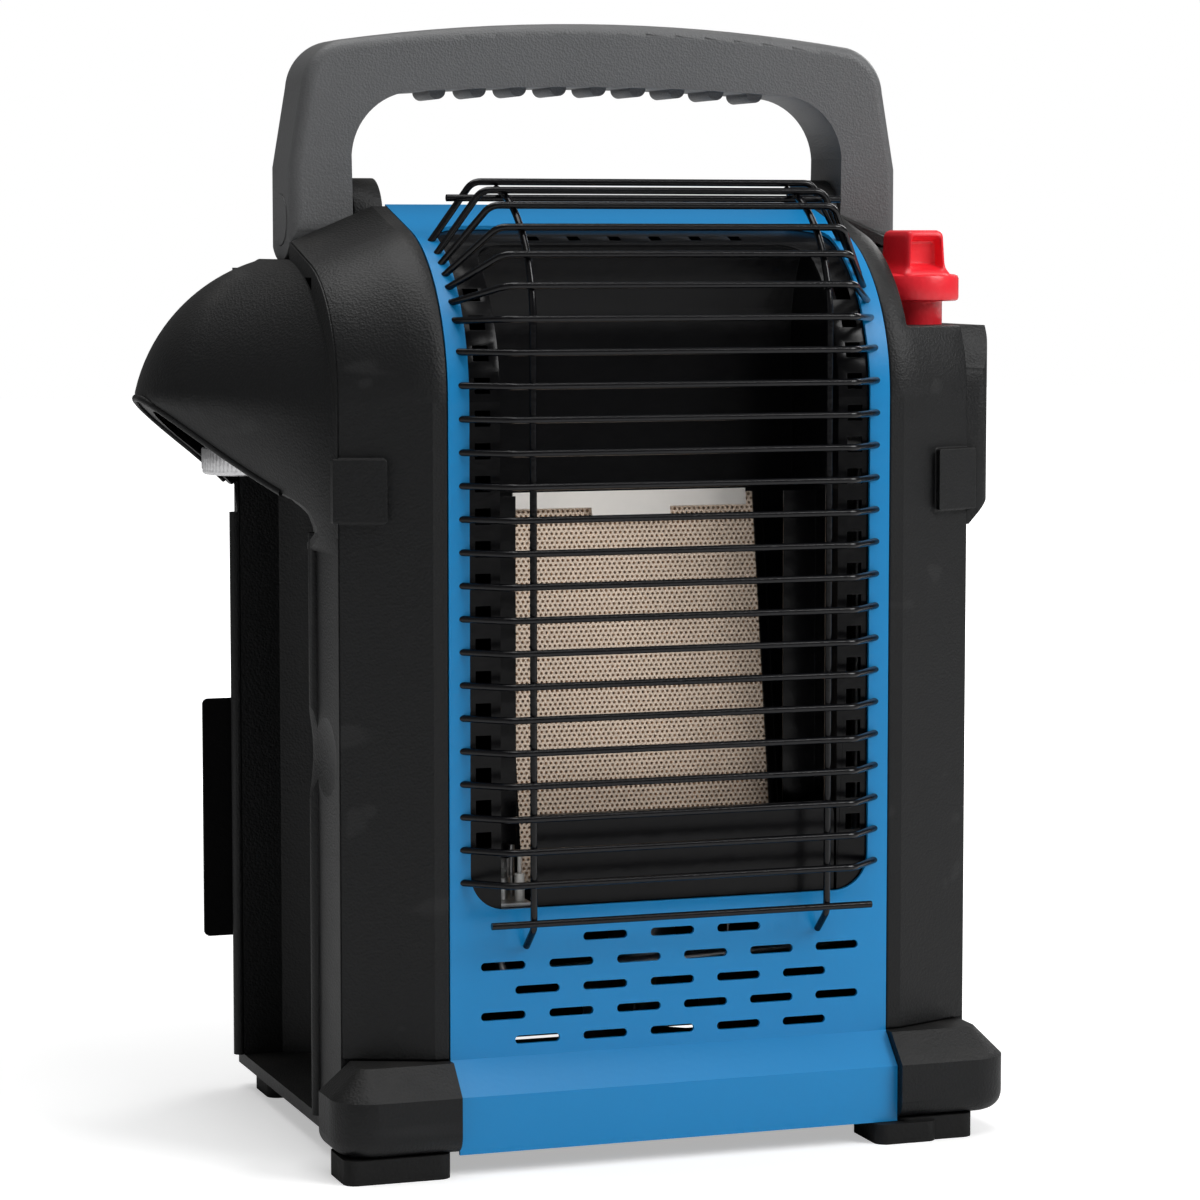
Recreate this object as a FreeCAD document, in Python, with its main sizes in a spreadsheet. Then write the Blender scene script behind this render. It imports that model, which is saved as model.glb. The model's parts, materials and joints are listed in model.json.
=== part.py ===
import FreeCAD, Part
import math
import os
import Sketcher
from FreeCAD import Vector

# Portable propane heater: blue front sheet, black side mouldings, ceramic burner behind a wire
# guard, folding carrying handle, push-and-turn gas knob, regulator that swings out of its hood.
# Drawing frame, in millimetres: X to the right seen from the front and 0 at the middle of the blue
# panel, Y to the rear and 0 on the panel's face, Z up and 0 on the ground.  Every sub-part is then
# placed so that the origin lies on the ground under the middle of the whole heater.

TABLE = {
    # Placement of the drawing frame in the part's own frame
    "origin_x": 18.6,
    "origin_y": -69.5,
    # Blue front panel
    "panel_half": 76.5,
    "panel_sheet": 1.2,
    "bend_radius": 57,
    "bend_z": 249,
    "bend_turn": 74,
    "crest_y": 72,
    "crest_slope": 16,
    "apron_y": 10.3,
    "apron_bottom_z": 7,
    "apron_top_z": 25.7,
    "ledge_slope": 45,
    "opening_half": 69.5,
    "opening_bottom_z": 84.4,
    "opening_rear_y": 47,
    "opening_corner": 12,
    "flange_depth": 9,
    "flange_bottom_z": 40,
    "slot_length": 15.3,
    "slot_height": 2.8,
    "slot_pitch": 23.4,
    "slot_row_pitch": 8.2,
    "slot_top_z": 74.1,
    # Side mouldings
    "side_half": 110,
    "fit_gap": 0.2,
    "side_crest_y": 95,
    "crease_depth": 11.5,
    "face_flat": 5.2,
    "wall": 2.5,
    "seam_gap": 0.3,
    "floor_z": 8,
    "column_bottom_z": 36.2,
    "handle_recess_y": 70.5,
    "handle_recess_z": 291,
    "rear_y": 150,
    "rear_top_z": 291,
    "lug_inner": 77.5,
    "lug_outer": 87.2,
    "lug_radius": 14,
    "web_top_z": 310,
    "deck_peak_z": 311,
    "deck_end_y": 122,
    # Latch covers over the crease and the dent in the left side
    "latch_inner": 96,
    "latch_low_z": 210.5,
    "latch_top_z": 231,
    "latch_rise": 2.2,
    "dent_y": 28,
    "dent_z": 133,
    "dent_half": 13,
    "dent_depth": 1.6,
    # Base flares
    "flare_half": 117.5,
    "flare_front_y": 14,
    "flare_rear_y": 24,
    "flare_top_z": 36,
    "flare_slope": 9.5,
    "flare_corner": 13,
    "flare_run": 12,
    "flare_foot": 6,
    # Cylinder bay and regulator hood
    "bay_front_y": 42.5,
    "bay_rear_y": 141.5,
    "bay_x": 115,
    "bay_y": 92,
    "bay_radius": 53,
    "bay_floor_z": 12.2,
    "bay_edge_x": 110,
    "bead_radius": 2.2,
    "hood_x": 112,
    "hood_reach": 45,
    "hood_round": 60,
    "hood_top_z": 294.7,
    "hood_tip_z": 248,
    "hood_foot_z": 200,
    "hood_side_z": 230,
    "hood_top_half": 12,
    "mouth_x": 112,
    "mouth_slope": 38.4,
    "mouth_corner": 14,
    "mouth_foot_z": 205.5,
    # Knob housing on the right
    "housing_half": 119,
    "housing_bottom_z": 205,
    "housing_top_z": 272,
    "housing_rear_y": 66,
    "housing_front_y": 12,
    "knob_recess_x": 85.5,
    "knob_x": 102,
    "knob_y": 40,
    # Burner cavity
    "liner_sheet": 0.8,
    "liner_half": 73.9,
    "liner_inset": 1.4,
    "cavity_half": 58.7,
    "cavity_top_y": 33,
    "cavity_back_y": 44,
    "cavity_bend_z": 262,
    "lean_y": 21,
    "lean": 9,
    "flange_lap": 4,
    "pilot_x": 55,
    "pilot_y": 15,
    "lean_top_z": 219,
    "cavity_foot": 0.4,
    "cavity_round": 48,
    "flange_hole": 5.2,
    "flange_hole_pitch": 10.5,
    "flange_hole_x": 64.6,
    "top_hole_pitch": 14.3,
    # Tile and its holder, along and through the leaning plane
    "tile_width": 92,
    "tile_height": 132,
    "tile_thickness": 13,
    "tile_foot": 3,
    "tile_face": 2.2,
    "plenum_wall": 1,
    "window_half": 47.2,
    "plenum_depth": 33,
    "plenum_half": 50,
    # Lower trim
    "trim_left": 46.8,
    "trim_right": 58.4,
    "trim_top_z": 114.5,
    # Wire guard
    "wire": 2.3,
    "guard_y": 11.5,
    "guard_pitch": 10.7,
    "guard_bottom_z": 93.9,
    "guard_bend_z": 273.8,
    "guard_radius": 46,
    "guard_turn": 76.8,
    "guard_flat": 59.5,
    "guard_end": 73,
    "upright_x": 51,
    "edge_half": 66,
    "edge_bottom_z": 81.2,
    # Handle
    "pivot_y": 85,
    "pivot_z": 307.5,
    "handle_front_y": 71,
    "handle_depth": 28,
    "handle_half": 109.2,
    "handle_knee_z": 325,
    "shoulder_x": 104.6,
    "shoulder_z": 352,
    "shoulder_radius": 17,
    "crown_x": 91.5,
    "crown_z": 367.2,
    "handle_top_z": 373.8,
    "grip_z": 352.4,
    "grip_end_x": 66,
    "grip_end_z": 350.2,
    "inner_knee_z": 329,
    "inner_radius": 22.5,
    "rim_radius": 4,
    "cap_radius": 8.6,
    "cap_depth": 1.7,
    "pin_radius": 3,
    "pin_length": 26,
    "bump_radius": 2.9,
    "bump_pitch": 14.3,
    # Knob
    "disc_radius": 15.75,
    "neck_radius": 9.25,
    "knob_travel": 4,
    # Regulator
    "drum_x": 120,
    "drum_radius": 20,
    "drum_front_y": 76,
    "drum_rear_y": 108,
    "drum_z": 257,
    "inlet_z": 222,
    "inlet_radius": 15,
    "inlet_bore": 12.1,
    "inlet_depth": 9,
    "neck_tube_radius": 11,
    "seal_radius": 8.5,
    # Gas lines
    "line_radius": 4,
    "gas_line_y": 128,
    "outlet_length": 10.5,
    "valve_half": 13,
    "valve_low_z": 218,
    "valve_top_z": 240,
    "guide_top_z": 246,
    "stem_radius": 3,
    "feed_offset": 6,
    "feed_top_z": 210,
    "jet_length": 17.9,
    "tube_wall": 1,
    "mix_x": 25,
    "mix_y": 100,
    "mix_radius": 12,
    "mix_foot_z": 48,
    "mix_mouth_z": 150,
    # Back, base and feet
    "sheet": 1,
    "tray_z": 8,
    "tray_sheet": 1.5,
    "foot_height": 8,
}


class Dim:
    """A length that carries its value and the sheet expression that it comes from."""

    def __init__(self, value, text):
        self.value = float(value)
        self.text = text

    @staticmethod
    def of(thing):
        return thing if isinstance(thing, Dim) else Dim(thing, f"({float(thing)})")

    def __add__(self, other):
        other = Dim.of(other)
        return Dim(self.value + other.value, f"({self.text} + {other.text})")

    def __sub__(self, other):
        other = Dim.of(other)
        return Dim(self.value - other.value, f"({self.text} - {other.text})")

    def __mul__(self, other):
        other = Dim.of(other)
        return Dim(self.value * other.value, f"({self.text} * {other.text})")

    def __truediv__(self, other):
        other = Dim.of(other)
        return Dim(self.value / other.value, f"({self.text} / {other.text})")

    def __neg__(self):
        return Dim(-self.value, f"(0 - {self.text})")

    __radd__ = __add__
    __rmul__ = __mul__

    def __rsub__(self, other):
        return Dim.of(other) - self


def cos(angle):
    return Dim(math.cos(math.radians(angle.value)), f"cos({angle.text})")


def sin(angle):
    return Dim(math.sin(math.radians(angle.value)), f"sin({angle.text})")


def tan(angle):
    return Dim(math.tan(math.radians(angle.value)), f"tan({angle.text})")


class Sheet:
    """The driving dimensions: S.name is a bound length, mm("name") its plain number."""

    def __init__(self, doc, table):
        self.cells = doc.addObject("Spreadsheet::Sheet", "Sizes")
        for row, (alias, value) in enumerate(table.items(), start=1):
            self.cells.set(f"A{row}", alias)
            self.cells.set(f"B{row}", str(value))
            self.cells.setAlias(f"B{row}", alias)
        doc.recompute()

    def __getattr__(self, alias):
        return Dim(self.cells.get(alias), f"Sizes.{alias}")


# A length past everything, the reach of a cutter past what it cuts, the slack of a comparison, and
# how much over half a width the radius of an arc of just under half a circle is.
FAR = 400
OVER = 1
SLACK = 1e-4
ROUND = 1.0001

DOC = FreeCAD.newDocument("heater")
S = Sheet(DOC, TABLE)
NODES = []


def mm(alias):
    return float(S.cells.get(alias))


def node(obj, label):
    """Names a finished sub-part and carries it from the drawing frame to the part's frame."""
    obj.Label = label
    bound = {path.lstrip("."): text for path, text in obj.ExpressionEngine}
    for axis, origin in (("x", "origin_x"), ("y", "origin_y")):
        path = f"Placement.Base.{axis}"
        here = bound.get(path, "0")
        obj.setExpression(path, f"{here} + Sizes.{origin}")
    NODES.append(obj)
    return obj


def feature(label, shape):
    """A sub-part whose shape is worked out here from the sheet's sizes."""
    obj = DOC.addObject("Part::Feature", label)
    obj.Shape = shape
    return node(obj, label)


def box(x0, x1, y0, y1, z0, z1):
    obj = DOC.addObject("Part::Box", "Block")
    for name, low, high in (("Length", x0, x1), ("Width", y0, y1), ("Height", z0, z1)):
        obj.setExpression(name, (Dim.of(high) - low).text)
    for axis, low in (("x", x0), ("y", y0), ("z", z0)):
        obj.setExpression(f"Placement.Base.{axis}", Dim.of(low).text)
    return obj


ALONG = {"X": Vector(1, 0, 0), "Y": Vector(0, 1, 0), "Z": Vector(0, 0, 1)}


def rod(axis, x, y, z, radius, length):
    """A cylinder that starts at x, y, z and runs along the positive axis."""
    obj = DOC.addObject("Part::Cylinder", "Rod")
    obj.Placement.Rotation = FreeCAD.Rotation(ALONG["Z"], ALONG[axis])
    obj.setExpression("Radius", Dim.of(radius).text)
    obj.setExpression("Height", Dim.of(length).text)
    for name, value in (("x", x), ("y", y), ("z", z)):
        obj.setExpression(f"Placement.Base.{name}", Dim.of(value).text)
    return obj


def hexagon(axis, x, y, z, flats, length):
    """A six-sided prism across its flats, along the positive axis."""
    obj = DOC.addObject("Part::Prism", "Hexagon")
    obj.Polygon = 6
    obj.Placement.Rotation = FreeCAD.Rotation(ALONG["Z"], ALONG[axis])
    obj.setExpression("Circumradius", (Dim.of(flats) / math.sqrt(3)).text)
    obj.setExpression("Height", Dim.of(length).text)
    for name, value in (("x", x), ("y", y), ("z", z)):
        obj.setExpression(f"Placement.Base.{name}", Dim.of(value).text)
    return obj


def fuse(*parts):
    obj = DOC.addObject("Part::MultiFuse", "Joined")
    obj.Shapes = list(parts)
    return obj


def group(*parts):
    """Separate solids of one node, such as its screws."""
    obj = DOC.addObject("Part::Compound", "Group")
    obj.Links = list(parts)
    return obj


def cut(base, *tools):
    obj = DOC.addObject("Part::Cut", "Trimmed")
    obj.Base = base
    obj.Tool = tools[0] if len(tools) == 1 else fuse(*tools)
    return obj


class Outline:
    """A closed outline of straight lines and arcs in one plane."""

    def __init__(self, u, v):
        self.points = [(Dim.of(u), Dim.of(v))]
        self.arcs = []

    def to(self, u, v):
        self.points.append((Dim.of(u), Dim.of(v)))
        self.arcs.append(None)
        return self

    def arc(self, u, v, radius, turn):
        """An arc of less than half a circle; turn is 1 to the left and -1 to the right."""
        self.points.append((Dim.of(u), Dim.of(v)))
        self.arcs.append((Dim.of(radius), turn))
        return self

    def ring(self):
        """The corners and the arc, or None, that follows each of them."""
        gaps = [abs(a.value - b.value) for a, b in zip(self.points[0], self.points[-1])]
        if max(gaps) < SLACK:
            return self.points[:-1], self.arcs
        return self.points, self.arcs + [None]

    def edges(self):
        """Each edge as its start, end and, for an arc, centre, radius and turn."""
        points, arcs = self.ring()
        for index, arc in enumerate(arcs):
            start, end = points[index], points[(index + 1) % len(points)]
            p = Vector(start[0].value, start[1].value, 0)
            q = Vector(end[0].value, end[1].value, 0)
            if arc is None:
                yield p, q, None, None, None
                continue
            radius, turn = arc[0].value, arc[1]
            chord = q - p
            rise = math.sqrt(max(radius ** 2 - (chord.Length / 2) ** 2, 0))
            normal = Vector(-chord.y, chord.x, 0).normalize()
            yield p, q, (p + q) * 0.5 + normal * rise * turn, radius, turn

    def curves(self):
        """The edges as curves; a right-hand arc is drawn from its end to its start."""
        up = Vector(0, 0, 1)
        for p, q, centre, radius, turn in self.edges():
            if centre is None:
                yield Part.LineSegment(p, q), (1, 2)
                continue
            first, last = (p, q) if turn > 0 else (q, p)
            angles = [math.atan2(v.y - centre.y, v.x - centre.x) for v in (first, last)]
            if angles[1] < angles[0]:
                angles[1] += 2 * math.pi
            circle = Part.Circle(centre, up, radius)
            yield Part.ArcOfCircle(circle, *angles), ((1, 2) if turn > 0 else (2, 1))

    def face(self):
        shapes = [curve.toShape() for curve, _ in self.curves()]
        return Part.Face(Part.Wire(Part.__sortEdges__(shapes)))

    def draw(self, sketch):
        """Draws the outline in a sketch, every point and radius bound to the sheet."""
        first = sketch.GeometryCount
        points, arcs = self.ring()
        count = len(points)
        ends = []
        for curve, order in self.curves():
            sketch.addGeometry(curve, False)
            ends.append(order)
        for index in range(count):
            after = (index + 1) % count
            joint = (first + index, ends[index][1], first + after, ends[after][0])
            sketch.addConstraint(Sketcher.Constraint("Coincident", *joint))
        for index, (u, v) in enumerate(points):
            for kind, value in (("DistanceX", u), ("DistanceY", v)):
                where = (-1, 1, first + index, ends[index][0])
                rule = Sketcher.Constraint(kind, *where, value.value)
                sketch.setExpression(f"Constraints[{sketch.addConstraint(rule)}]", value.text)
        for index, arc in enumerate(arcs):
            if arc:
                rule = Sketcher.Constraint("Radius", first + index, arc[0].value)
                sketch.setExpression(f"Constraints[{sketch.addConstraint(rule)}]", arc[0].text)


class Circle:
    """A round outline."""

    def __init__(self, u, v, radius):
        self.centre = (Dim.of(u), Dim.of(v))
        self.radius = Dim.of(radius)

    def draw(self, sketch):
        u, v = self.centre
        circle = Part.Circle(Vector(u.value, v.value, 0), Vector(0, 0, 1), self.radius.value)
        index = sketch.addGeometry(circle, False)
        for kind, value in (("DistanceX", u), ("DistanceY", v)):
            rule = Sketcher.Constraint(kind, -1, 1, index, 3, value.value)
            sketch.setExpression(f"Constraints[{sketch.addConstraint(rule)}]", value.text)
        rule = Sketcher.Constraint("Radius", index, self.radius.value)
        sketch.setExpression(f"Constraints[{sketch.addConstraint(rule)}]", self.radius.text)


def sketch_on(body, plane, offset, outlines):
    """A sketch in the body, parallel to one of its origin planes."""
    sketch = body.newObject("Sketcher::SketchObject", "Outline")
    planes = {item.Role: item for item in body.Origin.OriginFeatures}
    sketch.AttachmentSupport = [(planes[f"{plane}_Plane"], "")]
    sketch.MapMode = "FlatFace"
    sketch.setExpression("AttachmentOffset.Base.z", offset.text)
    for outline in outlines:
        outline.draw(sketch)
    return sketch


def pad(body, plane, low, high, *outlines):
    """Adds the outlines to the body between two positions across the plane."""
    low, high = Dim.of(low), Dim.of(high)
    sketch = sketch_on(body, plane, -high if plane == "XZ" else low, outlines)
    step = body.newObject("PartDesign::Pad", "Pad")
    step.Profile = sketch
    step.setExpression("Length", (high - low).text)
    DOC.recompute()
    return body


def pocket(body, plane, low, high, *outlines):
    """Cuts the outlines out of the body between two positions across the plane."""
    low, high = Dim.of(low), Dim.of(high)
    before = body.Shape.Volume
    sketch = sketch_on(body, plane, -low if plane == "XZ" else high, outlines)
    step = body.newObject("PartDesign::Pocket", "Pocket")
    step.Profile = sketch
    step.setExpression("Length", (high - low).text)
    DOC.recompute()
    if body.Shape.Volume > before - SLACK:
        raise RuntimeError(f"a pocket of {body.Label} cut nothing")
    return body


def slab(plane, low, high, *outlines):
    """A plate: the outlines drawn on a plane and padded between two positions."""
    body = DOC.addObject("PartDesign::Body", "Slab")
    DOC.recompute()
    return pad(body, plane, low, high, *outlines)


def rectangle(u0, u1, v0, v1):
    return Outline(u0, v0).to(u1, v0).to(u1, v1).to(u0, v1)


def rounded(u0, u1, v0, v1, r):
    """A rectangle with round corners."""
    path = Outline(u0 + r, v0).to(u1 - r, v0).arc(u1, v0 + r, r, 1).to(u1, v1 - r)
    path.arc(u1 - r, v1, r, 1).to(u0 + r, v1).arc(u0, v1 - r, r, 1).to(u0, v0 + r)
    return path.arc(u0 + r, v0, r, 1)


def front_curve(path, inset, reach=None):
    """Goes on from the straight front over the bend and up the slope to the crest."""
    radius = S.bend_radius - inset
    level = S.crest_slope
    bend_end = S.bend_radius - S.bend_radius * cos(S.bend_turn)
    run = ((reach or S.crest_y) - bend_end) / cos(level)
    y = S.bend_radius - radius * cos(S.bend_turn)
    z = S.bend_z + radius * sin(S.bend_turn)
    path.to(inset, S.bend_z).arc(y, z, radius, -1)
    return path.to(y + run * cos(level), z + run * sin(level))


def front_panel():
    """Blue sheet: apron, ledge, straight front, bend and slope, with window and air slots."""
    sheet, apron = S.panel_sheet, S.apron_y
    ledge_top = S.apron_top_z + apron * tan(S.ledge_slope)
    drop = sheet * tan(S.ledge_slope / 2)
    path = Outline(-apron, S.apron_bottom_z).to(-apron, S.apron_top_z).to(0, ledge_top)
    front_curve(path, Dim.of(0))
    inner = front_curve(Outline(0, 0), sheet)
    bend_start, bend_end, crest = inner.points[1:]
    path.to(*crest).to(*bend_end).arc(*bend_start, S.bend_radius - sheet, 1)
    path.to(sheet, ledge_top - drop).to(sheet - apron, S.apron_top_z - drop)
    path.to(sheet - apron, S.apron_bottom_z)
    body = slab("YZ", -S.panel_half, S.panel_half, path)
    for low in (-S.panel_half, S.panel_half - sheet):
        flange = rectangle(low, low + sheet, 0, S.flange_depth)
        pad(body, "XY", S.flange_bottom_z, S.bend_z, flange)
    half, corner, low = S.opening_half, S.opening_corner, S.opening_bottom_z
    rear, front, above = S.opening_rear_y, -OVER, S.bend_z + OVER
    window = Outline(corner - half, low).to(half - corner, low).arc(half, low + corner, corner, 1)
    window.to(half, above).to(-half, above).to(-half, low + corner)
    window.arc(corner - half, low, corner, 1)
    pocket(body, "XZ", front, sheet + OVER, window)
    skylight = Outline(-half, front).to(half, front).to(half, rear - corner)
    skylight.arc(half - corner, rear, corner, 1).to(corner - half, rear)
    skylight.arc(-half, rear - corner, corner, 1)
    pocket(body, "XY", S.bend_z, S.bend_z + FAR, skylight)
    slots_in_rows = (3, 6, 5, 6, 5)
    for row, count in enumerate(slots_in_rows):
        z = S.slot_top_z - S.slot_row_pitch * row
        slots = [slot(S.slot_pitch * (index - (count - 1) / 2), z) for index in range(count)]
        pocket(body, "XZ", front, sheet + OVER, *slots)
    return node(body, "front_panel")


def slot(x, z):
    """One air slot with round ends."""
    reach = (S.slot_length - S.slot_height) / 2
    radius = S.slot_height / 2
    path = Outline(x - reach, z - radius).to(x + reach, z - radius)
    path.arc(x + reach, z + radius, radius * ROUND, 1).to(x - reach, z + radius)
    return path.arc(x - reach, z - radius, radius * ROUND, 1)


def block(inset, half_out):
    """One side's body in front of the handle: the panel's line with a bevel down to the crease."""
    reach = S.side_crest_y
    path = Outline(inset, S.floor_z - OVER)
    front_curve(path, Dim.of(inset), reach)
    path.to(S.rear_y, path.points[-1][1]).to(S.rear_y, S.floor_z - OVER)
    solid = prism(path, "YZ", side_inner(), half_out)
    setbacks = (mm("crease_depth"), mm("side_half") - mm("panel_half") - mm("face_flat"))
    edges = [e for e in solid.Edges if on_front_line(e, half_out, inset)]
    crease = inset + mm("crease_depth")
    for first, second in (setbacks, setbacks[::-1]):
        bevelled = solid.makeChamfer(first, second, edges)
        outer = [v.Y for v in bevelled.Vertexes if abs(v.X - half_out) < SLACK]
        if abs(min(outer) - crease) < SLACK * 10:
            return bevelled
    raise RuntimeError("the side's bevel doesn't meet its crease")


def side_inner():
    """Where the side mouldings begin beside the blue panel."""
    return mm("panel_half") + mm("fit_gap")


def on_front_line(edge, x, inset):
    """Whether an edge of the block lies on its front line at the outer side."""
    bound = edge.BoundBox
    outer = abs(bound.XMin - x) < SLACK and abs(bound.XMax - x) < SLACK
    upright = bound.YMax < inset + SLACK
    before_crest = bound.YMax < mm("side_crest_y") + inset + SLACK
    above = bound.ZMin > mm("bend_z") - SLACK and before_crest and bound.ZLength > SLACK
    return outer and (upright or above)


def prism(path, plane, low, high):
    """An outline swept straight between two positions across its plane."""
    face = path.face()
    turns = {
        "XY": (FreeCAD.Rotation(), Vector(0, 0, 1)),
        "YZ": (FreeCAD.Rotation(Vector(1, 1, 1), 120), Vector(1, 0, 0)),
        "XZ": (FreeCAD.Rotation(Vector(1, 0, 0), 90), Vector(0, 1, 0)),
    }
    turn, axis = turns[plane]
    face.Placement = FreeCAD.Placement(axis * low, turn)
    return face.extrude(axis * (high - low))


def plain_box(x0, x1, y0, y1, z0, z1):
    """A box as a bare shape, for the pieces that are worked out in code."""
    return Part.makeBox(x1 - x0, y1 - y0, z1 - z0, Vector(x0, y0, z0))


def tube(points, radius, bend):
    """A round bar along straight runs joined by tangent arcs of one bend radius."""
    edges = []
    start = points[0]
    for before, corner, after in zip(points, points[1:], points[2:]):
        came = (corner - before).normalize()
        goes = (after - corner).normalize()
        half_turn = came.getAngle(goes) / 2
        reach = bend * math.tan(half_turn)
        enter, leave = corner - came * reach, corner + goes * reach
        inward = (goes - came).normalize()
        centre = corner + inward * (bend / math.cos(half_turn))
        edges.append(Part.LineSegment(start, enter).toShape())
        edges.append(Part.Arc(enter, centre - inward * bend, leave).toShape())
        start = leave
    edges.append(Part.LineSegment(start, points[-1]).toShape())
    return sweep(edges, points[0], points[1] - points[0], radius)


def sweep(edges, start, along, radius):
    """A round bar along a chain of edges."""
    shell = Part.BRepOffsetAPI.MakePipeShell(Part.Wire(edges))
    shell.add(Part.Wire(Part.Circle(start, along, radius).toShape()))
    shell.build()
    shell.makeSolid()
    return shell.shape()


def seam(gap):
    """Everything deeper than the crease: the seam between column and cover runs along it."""
    path = Outline(S.crease_depth + gap, 0)
    front_curve(path, S.crease_depth + gap, S.side_crest_y)
    path.to(FAR, path.points[-1][1]).to(FAR, 0)
    return prism(path, "YZ", mm("opening_half"), FAR)


def skin():
    """The hollow moulding of one side in front of the handle."""
    wall = mm("wall")
    outer = block(0, mm("side_half"))
    inner = block(wall, mm("side_half") - wall)
    front = plain_box(0, FAR, -FAR, mm("handle_recess_y"), mm("floor_z"), FAR)
    return outer.cut(inner).common(front)


def latch():
    """Raised cover that straddles the crease halfway up the side."""
    rise = mm("latch_rise")
    raised = block(-rise, mm("side_half") + rise)
    depth = mm("crease_depth") + OVER
    frame = plain_box(mm("latch_inner"), FAR, -FAR, depth, mm("latch_low_z"), mm("latch_top_z"))
    return raised.common(frame).cut(block(0, mm("side_half")))


def knob_recess():
    """Space above the knob housing, cut out of the column and the cover."""
    return plain_box(mm("knob_recess_x"), FAR, -FAR, mm("housing_rear_y") - mm("wall"),
                     mm("housing_top_z"), FAR)


def column(label, side):
    """Front corner moulding beside the blue panel, from the base flare up to the handle."""
    foot = plain_box(0, FAR, -FAR, FAR, 0, mm("column_bottom_z"))
    shape = skin().cut(seam(0)).cut(foot)
    if side > 0:
        shape = shape.cut(knob_recess())
    shape = shape.fuse(latch()).removeSplitter()
    if side < 0:
        shape = shape.mirror(Vector(), Vector(1, 0, 0))
    return feature(label, shape)


def flare():
    """Hollow foot of the side moulding that stands out in front of and beside the column."""
    near, far = S.panel_half + S.fit_gap, S.flare_half
    front, rear, corner = -S.flare_front_y, S.flare_rear_y, S.flare_corner
    path = Outline(near, front).to(far - corner, front).arc(far, front + corner, corner, 1)
    path.to(far, rear - S.flare_run).to(S.side_half, rear).to(near, rear)
    low, top, slope = mm("floor_z"), mm("flare_top_z"), mm("flare_slope")
    solid = prism(path, "XY", low, top)
    solid = solid.makeChamfer(slope, flare_rim(solid, top))
    solid = solid.makeFillet(mm("flare_foot"), flare_rim(solid, low))
    wall = mm("wall")
    hollow = plain_box(near.value + wall, mm("side_half") - wall, wall + front.value,
                       rear.value + OVER, low + wall, top - slope)
    return solid.cut(hollow)


def flare_rim(solid, z):
    """The outer edges of the flare at one height."""
    rear, near = mm("flare_rear_y") - OVER, side_inner() + OVER
    bounds = [(edge, edge.BoundBox) for edge in solid.Edges]
    return [edge for edge, b in bounds if abs(b.ZMin - z) < SLACK and abs(b.ZMax - z) < SLACK
            and b.YMin < rear and b.XMax > near]


def lug():
    """Ear on the moulding that carries the handle's pivot pin."""
    y, z, r = mm("pivot_y"), mm("pivot_z"), mm("lug_radius")
    x0, x1 = mm("lug_inner"), mm("lug_outer")
    ear = Part.makeCylinder(r, x1 - x0, Vector(x0, y, z), Vector(1, 0, 0))
    return ear.fuse(plain_box(x0, x1, y - r, y + r, mm("handle_recess_z") - OVER, z))


def pin_bore():
    """Hole for the handle's pivot pin in the right side's ear."""
    start = Vector(mm("opening_half"), mm("pivot_y"), mm("pivot_z"))
    return Part.makeCylinder(mm("pin_radius"), mm("side_half"), start, Vector(1, 0, 0))


def cover_front():
    """The part of the side moulding behind the crease, in front of the handle recess."""
    return skin().common(seam(mm("seam_gap")))


def recess_wall():
    """Wall in front of the handle's leg and the web beside the sloping top deck."""
    wall, y, z = mm("wall"), mm("handle_recess_y"), mm("handle_recess_z")
    front = plain_box(side_inner(), mm("side_half"), y - wall, y, z - wall, FAR)
    front = front.common(block(0, mm("side_half"))).common(seam(mm("seam_gap")))
    low, end = z - OVER, mm("deck_end_y")
    path = Outline(y, low).to(y, mm("web_top_z")).to(end, z).to(end, low)
    return front.fuse(prism(path, "YZ", side_inner(), side_inner() + wall))


def right_cover():
    """Right side moulding: wall, handle recess, knob housing, rear edge, lug and flare."""
    wall, far, z = mm("wall"), mm("side_half"), mm("handle_recess_z")
    rear, floor, inner = mm("rear_y"), mm("floor_z"), side_inner()
    parts = [
        cover_front(),
        recess_wall(),
        plain_box(far - wall, far, mm("handle_recess_y") - wall, rear, floor, z),
        plain_box(inner, far, mm("handle_recess_y") - wall, rear, z - wall, z),
        plain_box(inner, far, rear - wall, rear, floor, z),
        lug(),
        flare(),
    ]
    shell = parts[0].multiFuse(parts[1:]).cut(knob_recess()).fuse(knob_housing())
    shape = shell.cut(housing_hollow()).cut(pin_bore()).cut(latch())
    return feature("right_cover", shape.removeSplitter())


def housing_outline(inset):
    """Plan of the knob housing, from inside the column to its outer side."""
    far, front, rear = S.housing_half - inset, S.housing_front_y + inset, S.housing_rear_y - inset
    corner = S.wall * 2
    inner = S.knob_recess_x - S.wall - inset
    path = Outline(inner, front).to(far - corner, front)
    path.arc(far, front + corner, corner, 1).to(far, rear - corner)
    path.arc(far - corner, rear, corner, 1)
    return path.to(inner, rear)


def knob_housing():
    """Box that stands out from the side and holds the valve; its lower end runs in at a slope."""
    wall, top, low = mm("wall"), mm("housing_top_z"), mm("housing_bottom_z")
    far, behind_seam = mm("housing_half"), seam(mm("seam_gap"))
    outer = prism(housing_outline(Dim.of(0)), "XY", low, top)
    step = far - mm("side_half")
    path = Outline(0, low - OVER).to(far - step, low - OVER).to(far + OVER, low + step + OVER)
    path.to(far + OVER, FAR).to(0, FAR)
    outer = outer.common(prism(path, "XZ", -FAR, FAR)).common(behind_seam)
    x, z, rear = mm("knob_recess_x"), top - wall, mm("housing_rear_y")
    front = mm("crease_depth") + mm("seam_gap") + wall
    inner_wall = plain_box(x - wall, x, front, rear, z, FAR)
    rear_wall = plain_box(x - wall, mm("side_half"), rear - wall, rear, z, FAR)
    walls = inner_wall.fuse(rear_wall).common(block(0, mm("side_half"))).common(behind_seam)
    return outer.fuse(walls)


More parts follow.
